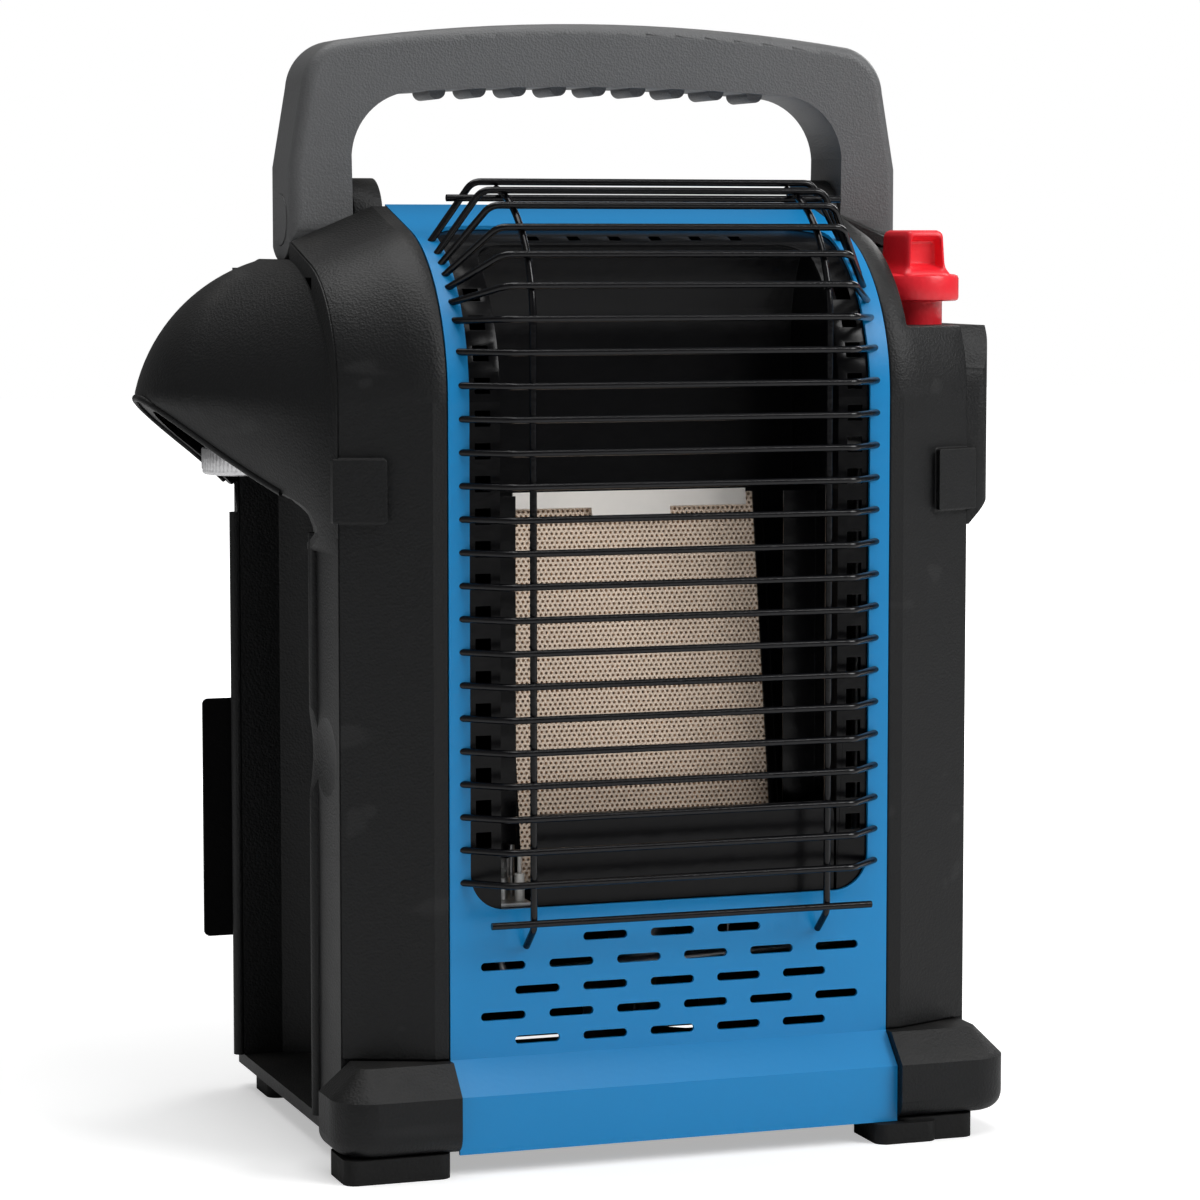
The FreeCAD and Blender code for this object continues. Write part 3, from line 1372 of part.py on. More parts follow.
def guard_line(offset):
    """Points on the guard's side view: the straight front and its bend over the top."""
    radius, y = mm("guard_radius") - offset, offset - mm("guard_y")
    turn = math.radians(mm("guard_turn"))

    def spot(run):
        straight = mm("guard_bend_z") - mm("guard_bottom_z")
        if run <= straight:
            return y, mm("guard_bottom_z") + run, 0
        angle = min((run - straight) / mm("guard_radius"), turn)
        past = run - straight - angle * mm("guard_radius")
        centre_y = mm("guard_radius") - mm("guard_y")
        return (centre_y - radius * math.cos(angle) + past * math.sin(angle),
                mm("guard_bend_z") + radius * math.sin(angle) + past * math.cos(angle), angle)

    return spot


def panel_gap(y, z, angle):
    """How far a guard wire at this place stands off the blue panel, along its own normal."""
    bend_y, bend_z, radius = mm("bend_radius"), mm("bend_z"), mm("bend_radius")
    along = Vector(0, math.cos(angle), -math.sin(angle))
    if z + along.z * -y <= bend_z:
        return -y / along.y
    to_centre = Vector(0, bend_y - y, bend_z - z)
    reach = to_centre.dot(along)
    return reach - math.sqrt(radius ** 2 - (to_centre.Length ** 2 - reach ** 2))


def guard_cross_wires():
    """Cross wires, each bent back at both ends to the blue side strips."""
    spot, wires, count, bend = guard_line(0), [], 24, 5
    flat, end, touch = mm("guard_flat"), mm("guard_end"), -0.05
    path = front_curve(Outline(touch, 0), Dim.of(touch)).to(FAR, FAR).to(FAR, 0)
    behind = prism(path, "YZ", -FAR, FAR)
    past = 1.5
    for index in range(count):
        y, z, angle = spot(mm("guard_pitch") * index)
        away = Vector(0, math.cos(angle), -math.sin(angle)) * (panel_gap(y, z, angle) + past)
        middle = Vector(0, y, z)
        points = [middle + away + Vector(-end, 0, 0), middle + Vector(-flat, 0, 0),
                  middle + Vector(flat, 0, 0), middle + away + Vector(end, 0, 0)]
        wires.append(tube(points, mm("wire") / 2, bend).cut(behind))
    return feature("guard_cross_wires", Part.makeCompound(wires))


def guard_uprights():
    """Two upright wires behind the cross wires, bent back to the panel at both ends."""
    gap, radius = mm("wire"), mm("wire") / 2
    straight = mm("guard_bend_z") - mm("guard_bottom_z")
    hook, lap, bend_radius, tail = 7, 8, 4, 5
    y0, low = gap - mm("guard_y"), mm("edge_bottom_z") - 2
    spot = guard_line(gap)
    bend = mm("guard_radius") * math.radians(mm("guard_turn"))
    runs = (straight + bend / 2, straight + bend, straight + bend + tail)
    wires = []
    for x in (-mm("upright_x"), mm("upright_x")):
        foot, knee = Vector(x, -radius - 0.1, low - hook), Vector(x, y0, low)
        start, top = Vector(x, y0, low + lap), Vector(x, y0, mm("guard_bend_z"))
        middle, end, last = (Vector(x, *spot(run)[:2]) for run in runs)
        edges = [Part.makeLine(start, top), Part.Arc(top, middle, end).toShape(),
                 Part.makeLine(end, last)]
        upper = sweep(edges, start, Vector(0, 0, 1), radius)
        wires.append(tube([foot, knee, start], radius, bend_radius).fuse(upper).removeSplitter())
    return feature("guard_uprights", Part.makeCompound(wires))


def guard_edge_wires():
    """Straight wires that close the guard at its foot and at its rear end."""
    half, radius, overhang = mm("edge_half"), mm("wire") / 2, 3
    low = Part.makeCylinder(radius, 2 * half, Vector(-half, -mm("guard_y"), mm("edge_bottom_z")),
                            Vector(1, 0, 0))
    straight = mm("guard_bend_z") - mm("guard_bottom_z")
    bend = mm("guard_radius") * math.radians(mm("guard_turn"))
    y, z, _ = guard_line(mm("wire") * 2)(straight + bend + 1)
    high = Part.makeCylinder(radius, 2 * (half + overhang), Vector(-half - overhang, y, z),
                             Vector(1, 0, 0))
    return feature("guard_edge_wires", Part.makeCompound([low, high]))


def rise_radius(half_chord, rise):
    """Radius of the arc with this half chord and height."""
    return (half_chord ** 2 + rise ** 2) / (2 * rise)


def handle():
    """Folding carrying handle: splayed legs with round pivot ends and a ribbed grip."""
    foot, z, top = mm("handle_half"), mm("pivot_z"), mm("handle_top_z")
    depth, y, radius = mm("handle_depth"), mm("handle_front_y"), mm("handle_depth") / 2
    low, knee = z - radius, mm("handle_knee_z")
    shoulder = (mm("shoulder_x"), mm("shoulder_z"))
    crown_x, crown_z, round_off = mm("crown_x"), mm("crown_z"), mm("shoulder_radius")
    outer = Outline(foot, low).to(foot, knee).to(*shoulder).arc(crown_x, crown_z, round_off, 1)
    outer.arc(-crown_x, crown_z, rise_radius(crown_x, top - crown_z), 1)
    outer.arc(-shoulder[0], shoulder[1], round_off, 1).to(-foot, knee).to(-foot, low)
    inner, end_x, end_z = mm("lug_outer") + 0.4, mm("grip_end_x"), mm("grip_end_z")
    inner_knee, corner, splay = mm("inner_knee_z"), mm("inner_radius"), 0.6
    grip_radius = rise_radius(end_x, mm("grip_z") - end_z)
    outer.to(-inner, low).to(-inner - splay, inner_knee).arc(-end_x, end_z, corner, -1)
    outer.arc(end_x, end_z, grip_radius, -1).arc(inner + splay, inner_knee, corner, -1)
    solid = prism(outer.to(inner, low), "XZ", y, y + depth)
    rims = [e for e in solid.Edges if e.BoundBox.YLength < SLACK and on_outer_rim(e, low)]
    solid = solid.makeFillet(mm("rim_radius"), rims)
    side = Outline(y, z).arc(y + radius, low, radius * ROUND, 1)
    side.arc(y + depth, z, radius * ROUND, 1).to(y + depth, FAR).to(y, FAR)
    solid = solid.common(prism(side, "YZ", -FAR, FAR))
    return feature("handle", finger_bumps(solid, grip_radius).cut(pivot_bores()).removeSplitter())


def finger_bumps(solid, grip_radius):
    """Adds the round ribs under the grip."""
    y, depth, margin = mm("handle_front_y"), mm("handle_depth"), 4
    count = 9
    for index in range(count):
        x = mm("bump_pitch") * (index - (count - 1) / 2)
        start = Vector(x, y + margin, mm("grip_z") - x ** 2 / (2 * grip_radius))
        bump = Part.makeCylinder(mm("bump_radius"), depth - 2 * margin, start, Vector(0, 1, 0))
        solid = solid.fuse(bump)
    return solid


def pivot_bores():
    """The handle's pin bores and the seats of its caps."""
    y, z, face = mm("pivot_y"), mm("pivot_z"), mm("handle_half")
    along, slack = Vector(1, 0, 0), 0.2
    bore = Part.makeCylinder(mm("pin_radius") + slack, 2 * FAR, Vector(-FAR, y, z), along)
    seats = [Part.makeCylinder(mm("cap_radius") + slack, FAR, Vector(x, y, z), along)
             for x in (face - mm("cap_depth"), mm("cap_depth") - face - FAR)]
    return bore.multiFuse(seats)


def on_outer_rim(edge, low):
    """Whether an edge lies on the handle's outer outline, clear of the feet of its legs."""
    middle = edge.CenterOfMass
    outer_leg = abs(middle.x) > (mm("lug_outer") + mm("handle_half")) / 2 and middle.z > low + OVER
    crown = middle.z > (mm("grip_z") + mm("handle_top_z")) / 2
    return outer_leg or crown


def handle_pins():
    """Steel pins through the lugs on which the handle turns."""
    y, z, r = S.pivot_y, S.pivot_z, S.pin_radius - 0.05
    length = S.pin_length
    left = rod("X", -S.lug_inner - length, y, z, r, length)
    right = rod("X", S.lug_inner, y, z, r, length)
    return node(group(left, right), "handle_pins")


def pivot_caps():
    """Round caps that close the handle's pivot bores, almost flush with its outer faces."""
    y, z, proud = S.pivot_y, S.pivot_z, 0.3
    face, seat, inner = S.handle_half + proud, S.handle_half - S.cap_depth, S.lug_inner + S.pin_length
    plug_inner, plug_radius = inner + 1, S.pin_radius + 0.1
    caps = []
    for disc_x, plug_x in ((seat, plug_inner), (-face, -seat)):
        disc = rod("X", disc_x, y, z, S.cap_radius, face - seat)
        plug = rod("X", plug_x, y, z, plug_radius, seat - plug_inner)
        caps.append(fuse(disc, plug))
    return node(group(*caps), "pivot_caps")


def knob():
    """Red knob: neck, disc and a grip bar with scooped faces."""
    x, y, z = S.knob_x, S.knob_y, S.housing_top_z
    sunk, disc_z, disc_top, grip_top, grip_x, grip_y = 6, z + 8, z + 17, z + 32, 7.65, 12
    neck = rod("Z", x, y, z - sunk, S.neck_radius, disc_z - z + sunk + 0.1)
    disc = rod("Z", x, y, disc_z, S.disc_radius, disc_top - disc_z)
    grip = box(x - grip_x, x + grip_x, y - grip_y, y + grip_y, disc_top, grip_top)
    scoop_radius, scoop_y, scoop_z = 21, 30.5, disc_top + 2
    scoops = [rod("Z", x, y + offset, scoop_z, scoop_radius, grip_top - disc_top)
              for offset in (-scoop_y, scoop_y)]
    socket = rod("Z", x, y, z - sunk - OVER, S.stem_radius + 0.05, 16)
    return node(cut(fuse(neck, disc, grip), *scoops, socket), "knob")


def valve_stem():
    """Stem that the knob turns and pushes down through the valve's guide."""
    low, top = 231, S.housing_top_z + 9
    return node(rod("Z", S.knob_x, S.knob_y, low, S.stem_radius, top - low), "valve_stem")


def stem_collar():
    """Collar under the knob that takes the spring's push and slides without turning."""
    x, y, low, height = S.knob_x, S.knob_y, collar_low(), Dim.of(2.4)
    bore = rod("Z", x, y, low - OVER, S.stem_radius + 0.2, height + 2 * OVER)
    return node(cut(rod("Z", x, y, low, 8, height), bore), "stem_collar")


def collar_low():
    """Height of the collar's lower face with the knob let go."""
    return S.housing_top_z - 8.5


def return_spring():
    """Wound spring between the valve's guide and the collar."""
    radius, wire_radius, turns, x, y = 5.6, 0.55, 5, mm("knob_x"), mm("knob_y")
    low, high = mm("guide_top_z") + wire_radius + 0.05, collar_low().value - wire_radius - 0.05
    pitch, quarter = (high - low) / turns, math.pi / 2

    def at(angle):
        return Vector(x + radius * math.cos(angle), y + radius * math.sin(angle),
                      low + pitch * angle / (2 * math.pi))

    starts = [quarter * index for index in range(turns * 4)]
    edges = [Part.Arc(at(a), at(a + quarter / 2), at(a + quarter)).toShape() for a in starts]
    coil = sweep(edges, at(0), edges[0].tangentAt(edges[0].FirstParameter), wire_radius)
    gap = pitch - 2 * wire_radius
    print(f"return spring: pitch {pitch:.2f}, least gap between turns {gap:.2f}")
    return feature("return_spring", coil)


def regulator_parts():
    """Regulator drum that swings about its own axis, its cap, inlet, seal and pin."""
    x, y, z = -S.drum_x, S.bay_y, S.drum_z
    front, rear, r = S.drum_front_y, S.drum_rear_y, S.drum_radius
    drum = rod("Y", x, front, z, r, rear - front)
    low, slack, gap, seal_pocket = S.inlet_z + S.inlet_depth, 0.1, 0.2, 5
    neck = rod("Z", x, y, low + gap, S.neck_tube_radius, z - low - gap)
    pocket_space = rod("Z", x, y, low, S.seal_radius + slack, seal_pocket)
    node(cut(fuse(drum, neck), pocket_space), "regulator_body")
    cap_depth, boss_depth, boss_radius = 3, 7, 9
    cap = fuse(rod("Y", x, front - cap_depth, z, r - 2.5, cap_depth),
               rod("Y", x, front - boss_depth, z, boss_radius, boss_depth - cap_depth))
    node(cap, "regulator_cap")
    inlet = rod("Z", x, y, S.inlet_z, S.inlet_radius, 2 * S.inlet_depth)
    bore = rod("Z", x, y, S.inlet_z - OVER, S.inlet_bore, S.inlet_depth + OVER)
    seat = rod("Z", x, y, S.inlet_z + OVER, S.neck_tube_radius + slack, FAR)
    drum_space = rod("Y", x, front - OVER, z, r + slack / 2, rear - front + 2 * OVER)
    node(cut(inlet, bore, seat, drum_space), "inlet_fitting")
    seal_low, seal_height, seal_hole, pin_radius, pin_low = low + 0.3, 2.2, 5, 1.4, low + 0.5
    seal = cut(rod("Z", x, y, seal_low, S.seal_radius, seal_height),
               rod("Z", x, y, low, seal_hole, seal_height * 2))
    node(seal, "inlet_seal")
    head_low = seal_low + seal_height + slack
    pin = fuse(rod("Z", x, y, pin_low, pin_radius, head_low - pin_low),
               rod("Z", x, y, head_low, S.seal_radius, seal_height))
    node(pin, "inlet_pin")


def swivel_outlet():
    """Fixed fitting behind the drum on which the regulator swings."""
    x, z, front = -S.drum_x, S.drum_z, S.drum_rear_y + 0.3
    flange_back, nut_back, end = front + 4, front + 8, S.drum_rear_y + S.outlet_length
    body = fuse(rod("Y", x, front, z, 9, flange_back - front),
                hexagon("Y", x, flange_back, z, 16, nut_back - flange_back),
                rod("Y", x, nut_back, z, 6, end - nut_back))
    return node(body, "swivel_outlet")


def check_all():
    """Stops the build where an object failed or a sub-part has no sound shape."""
    for obj in DOC.Objects:
        if "Invalid" in obj.State or "Error" in obj.State:
            raise RuntimeError(f"{obj.Label} failed: {obj.State}")
    for part in NODES:
        if part.Shape.isNull() or not part.Shape.isValid() or not part.Shape.Solids:
            raise RuntimeError(f"{part.Label} has no sound shape")


front_panel()
column("left_column", -1)
column("right_column", 1)
right_cover()
left_cover()
burner_liner()
lower_trim()
burner_frame()
ceramic_tile()
tile_gasket()
tile_top_clip()
burner_plenum()
mixing_tube()
gas_orifice()
orifice_bracket()
pilot_parts()
pilot_tube()
gas_valve()
valve_bracket()
piezo_igniter()
tip_over_switch()
supply_tube()
burner_feed_tube()
heat_shield()
base_tray()
back_panel()
cylinder_stop_plate()
stop_plate_screws()
feet()
guard_cross_wires()
guard_uprights()
guard_edge_wires()
handle()
handle_pins()
pivot_caps()
knob()
valve_stem()
stem_collar()
return_spring()
regulator_parts()
swivel_outlet()
DOC.recompute()
check_all()
os.makedirs("parts", exist_ok=True)
for part in NODES:
    part.Shape.exportStep(f"parts/{part.Label}.step")
    size = part.Shape.BoundBox
    print(f"{part.Label}: {len(part.Shape.Solids)} solids, {part.Shape.Volume:.0f} cubic mm, "
          f"{size.XLength:.1f} x {size.YLength:.1f} x {size.ZLength:.1f}")
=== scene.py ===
"""Looks of the portable propane heater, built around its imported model."""

import json
import logging
import math
from dataclasses import dataclass
from enum import Enum

import bpy
import numpy as np
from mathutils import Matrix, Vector


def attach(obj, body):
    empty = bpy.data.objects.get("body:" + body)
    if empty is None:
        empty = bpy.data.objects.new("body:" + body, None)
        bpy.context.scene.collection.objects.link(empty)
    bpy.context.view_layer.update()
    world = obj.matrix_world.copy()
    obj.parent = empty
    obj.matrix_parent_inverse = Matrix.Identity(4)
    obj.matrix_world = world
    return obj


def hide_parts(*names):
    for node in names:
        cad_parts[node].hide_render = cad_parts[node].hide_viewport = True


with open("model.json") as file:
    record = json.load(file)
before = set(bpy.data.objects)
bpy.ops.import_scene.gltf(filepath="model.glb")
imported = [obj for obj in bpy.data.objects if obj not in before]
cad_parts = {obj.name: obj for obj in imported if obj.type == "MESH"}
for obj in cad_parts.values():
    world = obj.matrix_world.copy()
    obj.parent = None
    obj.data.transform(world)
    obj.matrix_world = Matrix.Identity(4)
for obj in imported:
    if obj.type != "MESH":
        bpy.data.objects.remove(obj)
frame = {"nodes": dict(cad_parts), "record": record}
LOG = logging.getLogger("heater")
Colour = tuple[float, float, float]
Place = tuple[float, float, float]
Node = bpy.types.Node
Socket = bpy.types.NodeSocket
Tree = bpy.types.NodeTree
Material = bpy.types.Material
Thing = bpy.types.Object
MM = 0.001
ORIGIN = (18.6, -69.5, 0.0)
NEARLY_UPRIGHT = 0.05
HEX_SIDES = 6


class Kind(Enum):
    """Socket types of the shared node groups."""

    VALUE = "NodeSocketFloat"
    COLOUR = "NodeSocketColor"
    VECTOR = "NodeSocketVector"


class Wiring:
    """Short calls that add nodes to one tree and join them."""

    def __init__(self, tree: Tree) -> None:
        """Args:
        tree: the node tree to fill.
        """
        self.tree = tree

    def add(self, kind: str, settings: dict | None = None, **inputs: object) -> Node:
        """Adds one node.

        Args:
            kind: Blender's node type.
            settings: the node's own properties.
            inputs: values or sockets by input name, spaces written as underscores.

        Returns:
            The new node.
        """
        node = self.tree.nodes.new(kind)
        for key, value in (settings or {}).items():
            setattr(node, key, value)
        for key, value in inputs.items():
            self.put(node.inputs[key.replace("_", " ")], value)
        return node

    def put(self, socket: Socket, value: object) -> None:
        """Links a socket or sets its value."""
        if isinstance(value, bpy.types.NodeSocket):
            self.tree.links.new(value, socket)
        else:
            socket.default_value = value

    def math(self, operation: str, first: object, second: object = 0.0,
             third: object = 0.0) -> Socket:
        """One Math node.

        Args:
            operation: Blender's name of the operation.
            first: value or socket.
            second: value or socket.
            third: value or socket.

        Returns:
            The result's socket.
        """
        node = self.tree.nodes.new("ShaderNodeMath")
        node.operation = operation
        for socket, value in zip(node.inputs, (first, second, third)):
            self.put(socket, value)
        return node.outputs[0]

    def noise(self, vector: Socket, scale: object, detail: float = 3.0) -> Socket:
        """A noise texture's value at the given scale."""
        node = self.add("ShaderNodeTexNoise", None, Vector=vector, Scale=scale, Detail=detail)
        return node.outputs[0]

    def ramp(self, value: object, low: float, high: float) -> Socket:
        """Zero below low, one above high and smooth between."""
        node = self.add("ShaderNodeMapRange", {"interpolation_type": "SMOOTHSTEP"}, Value=value)
        node.inputs["From Min"].default_value = low
        node.inputs["From Max"].default_value = high
        return node.outputs[0]

    def mix(self, share: object, first: object, second: object, blend: str = "MIX") -> Socket:
        """Mixes two colours.

        Args:
            share: how much of the second colour shows.
            first: colour or socket.
            second: colour or socket.
            blend: Blender's blend type.

        Returns:
            The mixed colour's socket.
        """
        node = self.tree.nodes.new("ShaderNodeMix")
        node.data_type, node.blend_type = "RGBA", blend
        self.put(node.inputs[0], share)
        self.put(node.inputs[6], rgba(first))
        self.put(node.inputs[7], rgba(second))
        return node.outputs[2]


def rgba(colour: object) -> object:
    """A colour with its fourth channel, or the socket itself."""
    return (*colour, 1.0) if isinstance(colour, tuple) and len(colour) == 3 else colour


class Effects:
    """Node groups that several finishes share, each built once.

    Scales count features per metre, and pairs are the low and high ends of a soft threshold.
    """

    PATCH_FINER, PATCH_BROAD = 7.0, 0.7
    GRAIN_FINER, GRAIN_FINE = 1.7, 0.8
    DUST_SLOPE, DUST_SPOTS = (0.35, 1.0), (0.42, 0.72)
    DUST_SCALE, DUST_EVEN = 60.0, 0.4
    BRUSH_STRETCH = (0.04, 1.0, 1.0)
    SCUFF_LANES = (((0.3, 0.2, 0.5), (1.0, 0.06, 1.0)), ((-0.6, 0.4, 1.1), (0.07, 1.0, 1.0)))
    SCUFF_SPOTS = (0.68, 0.74)

    def __init__(self) -> None:
        """Starts with no group built."""
        self.built: dict[str, Tree] = {}

    def group(self, name: str) -> Tree:
        """The group of that name, built on its first use."""
        if name not in self.built:
            self.built[name] = getattr(self, name)()
        return self.built[name]

    def use(self, wiring: Wiring, name: str, **inputs: object) -> Node:
        """Places a group in a material.

        Args:
            wiring: the material's wiring.
            name: the group's name.
            inputs: values or sockets by input name.

        Returns:
            The group node.
        """
        node = wiring.tree.nodes.new("ShaderNodeGroup")
        node.node_tree = self.group(name)
        for key, value in inputs.items():
            wiring.put(node.inputs[key], value)
        return node

    @staticmethod
    def start(name: str, takes: dict[str, Kind],
              gives: dict[str, Kind]) -> tuple[Wiring, Node, Node]:
        """A new group with its sockets.

        Args:
            name: the group's name.
            takes: input names and types.
            gives: output names and types.

        Returns:
            The wiring, the group's input node and its output node.
        """
        tree = bpy.data.node_groups.new(name, "ShaderNodeTree")
        for side, sockets in (("INPUT", takes), ("OUTPUT", gives)):
            for label, kind in sockets.items():
                tree.interface.new_socket(name=label, in_out=side, socket_type=kind.value)
        into, out = tree.nodes.new("NodeGroupInput"), tree.nodes.new("NodeGroupOutput")
        return Wiring(tree), into, out

    def patches(self) -> Tree:
        """Slow tone changes over a surface: noise at two sizes, centred on one."""
        takes = {"place": Kind.VECTOR, "scale": Kind.VALUE, "amount": Kind.VALUE}
        w, into, out = self.start("patches", takes, {"tone": Kind.VALUE})
        broad = w.noise(into.outputs["place"], into.outputs["scale"])
        finer = w.math("MULTIPLY", into.outputs["scale"], self.PATCH_FINER)
        fine = w.math("MULTIPLY", w.noise(into.outputs["place"], finer), 1.0 - self.PATCH_BROAD)
        mixed = w.math("ADD", w.math("MULTIPLY", broad, self.PATCH_BROAD), fine)
        swing = w.math("MULTIPLY", w.math("SUBTRACT", mixed, 0.5), into.outputs["amount"])
        w.put(out.inputs["tone"], w.math("ADD", swing, 1.0))
        return w.tree

    def grain(self) -> Tree:
        """Spark-eroded mould grain: rounded cells with finer noise between them."""
        takes = {"place": Kind.VECTOR, "scale": Kind.VALUE}
        w, into, out = self.start("grain", takes, {"height": Kind.VALUE})
        cells = w.add("ShaderNodeTexVoronoi", None, Vector=into.outputs["place"],
                      Scale=into.outputs["scale"])
        finer = w.math("MULTIPLY", into.outputs["scale"], self.GRAIN_FINER)
        fine = w.math("MULTIPLY", w.noise(into.outputs["place"], finer), self.GRAIN_FINE)
        w.put(out.inputs["height"], w.math("ADD", cells.outputs["Distance"], fine))
        return w.tree

    def dust(self) -> Tree:
        """Dust that lies on faces that look up, in uneven patches."""
        takes = {"place": Kind.VECTOR, "normal": Kind.VECTOR, "amount": Kind.VALUE}
        w, into, out = self.start("dust", takes, {"mask": Kind.VALUE})
        up = w.add("ShaderNodeSeparateXYZ", None, Vector=into.outputs["normal"]).outputs[2]
        flat = w.ramp(up, *self.DUST_SLOPE)
        spots = w.ramp(w.noise(into.outputs["place"], self.DUST_SCALE, 5.0), *self.DUST_SPOTS)
        uneven = w.math("MULTIPLY", spots, 1.0 - self.DUST_EVEN)
        lying = w.math("MULTIPLY", flat, w.math("ADD", uneven, self.DUST_EVEN))
        w.put(out.inputs["mask"], w.math("MULTIPLY", lying, into.outputs["amount"]))
        return w.tree

    def brushing(self) -> Tree:
        """Fine lines along one direction: noise on coordinates stretched that way."""
        takes = {"place": Kind.VECTOR, "scale": Kind.VALUE}
        w, into, out = self.start("brushing", takes, {"height": Kind.VALUE})
        stretch = w.add("ShaderNodeMapping", None, Vector=into.outputs["place"],
                        Scale=self.BRUSH_STRETCH)
        w.put(out.inputs["height"], w.noise(stretch.outputs[0], into.outputs["scale"], 4.0))
        return w.tree

    def scuffs(self) -> Tree:
        """Sparse short scratches: thresholded noise, stretched two ways and joined."""
        takes = {"place": Kind.VECTOR, "scale": Kind.VALUE}
        w, into, out = self.start("scuffs", takes, {"mask": Kind.VALUE})
        marks = []
        for turn, stretch in self.SCUFF_LANES:
            lane = w.add("ShaderNodeMapping", None, Vector=into.outputs["place"],
                         Rotation=turn, Scale=stretch)
            spots = w.noise(lane.outputs[0], into.outputs["scale"], 2.0)
            marks.append(w.ramp(spots, *self.SCUFF_SPOTS))
        w.put(out.inputs["mask"], w.math("MAXIMUM", *marks))
        return w.tree


EFFECTS = Effects()
DUST_COLOUR, DUST_ROUGHENS = (0.33, 0.31, 0.28), 0.3
SCUFF_COLOUR, SCUFF_ROUGHENS = (0.2, 0.2, 0.2), 0.15
SCUFF_SCALE = 60.0
COAT_ROUGHNESS = 0.12


@dataclass(frozen=True)
class Finish:
    """A surface: its colour, how rough and metallic it is, and the fine relief on it.

    Scales count features per metre, and the relief's depth is in metres.
    """

    slot: str
    colour: Colour
    roughness: float = 0.5
    metallic: float = 0.0
    coat: float = 0.0
    gloss: float = 0.5
    tone_scale: float = 14.0
    tone_amount: float = 0.25
    relief: str = "grain"
    relief_scale: float = 900.0
    relief_depth: float = 0.00008
    dust: float = 0.0
    scuff: float = 0.0

    def build(self) -> Material:
        """Makes the material.

        Returns:
            The Blender material.
        """
        material = bpy.data.materials.new(self.slot)
        material.use_nodes = True
        w = Wiring(material.node_tree)
        shader = w.tree.nodes["Principled BSDF"]
        place = w.add("ShaderNodeTexCoord").outputs["Object"]
        tone = EFFECTS.use(w, "patches", place=place, scale=self.tone_scale,
                           amount=self.tone_amount).outputs[0]
        shade = w.add("ShaderNodeCombineColor", None, Red=tone, Green=tone, Blue=tone).outputs[0]
        colour = w.mix(1.0, self.colour, shade, "MULTIPLY")
        rough = w.math("MULTIPLY", tone, self.roughness)
        colour, rough = self.wear(w, place, colour, rough)
        height = EFFECTS.use(w, self.relief, place=place, scale=self.relief_scale).outputs[0]
        w.put(shader.inputs["Base Color"], colour)
        w.put(shader.inputs["Roughness"], rough)
        shader.inputs["Metallic"].default_value = self.metallic
        shader.inputs["Specular IOR Level"].default_value = self.gloss
        shader.inputs["Coat Weight"].default_value = self.coat
        shader.inputs["Coat Roughness"].default_value = COAT_ROUGHNESS
        bump = w.add("ShaderNodeBump", None, Height=height)
        bump.inputs["Distance"].default_value = self.relief_depth
        w.put(shader.inputs["Normal"], bump.outputs[0])
        return material

    def wear(self, w: Wiring, place: Socket, colour: Socket, rough: Socket) -> tuple[Socket, Socket]:
        """Lays the finish's dust and scuffs over its colour and roughness.

        Args:
            w: the material's wiring.
            place: object coordinates.
            colour: colour so far.
            rough: roughness so far.

        Returns:
            Colour and roughness sockets.
        """
        if self.dust:
            normal = w.add("ShaderNodeNewGeometry").outputs["Normal"]
            mask = EFFECTS.use(w, "dust", place=place, normal=normal, amount=self.dust).outputs[0]
            colour = w.mix(mask, colour, DUST_COLOUR)
            rough = w.math("ADD", rough, w.math("MULTIPLY", mask, DUST_ROUGHENS))
        if self.scuff:
            marks = EFFECTS.use(w, "scuffs", place=place, scale=SCUFF_SCALE).outputs[0]
            marks = w.math("MULTIPLY", marks, self.scuff)
            colour = w.mix(marks, colour, SCUFF_COLOUR)
            rough = w.math("ADD", rough, w.math("MULTIPLY", marks, SCUFF_ROUGHENS))
        return colour, rough


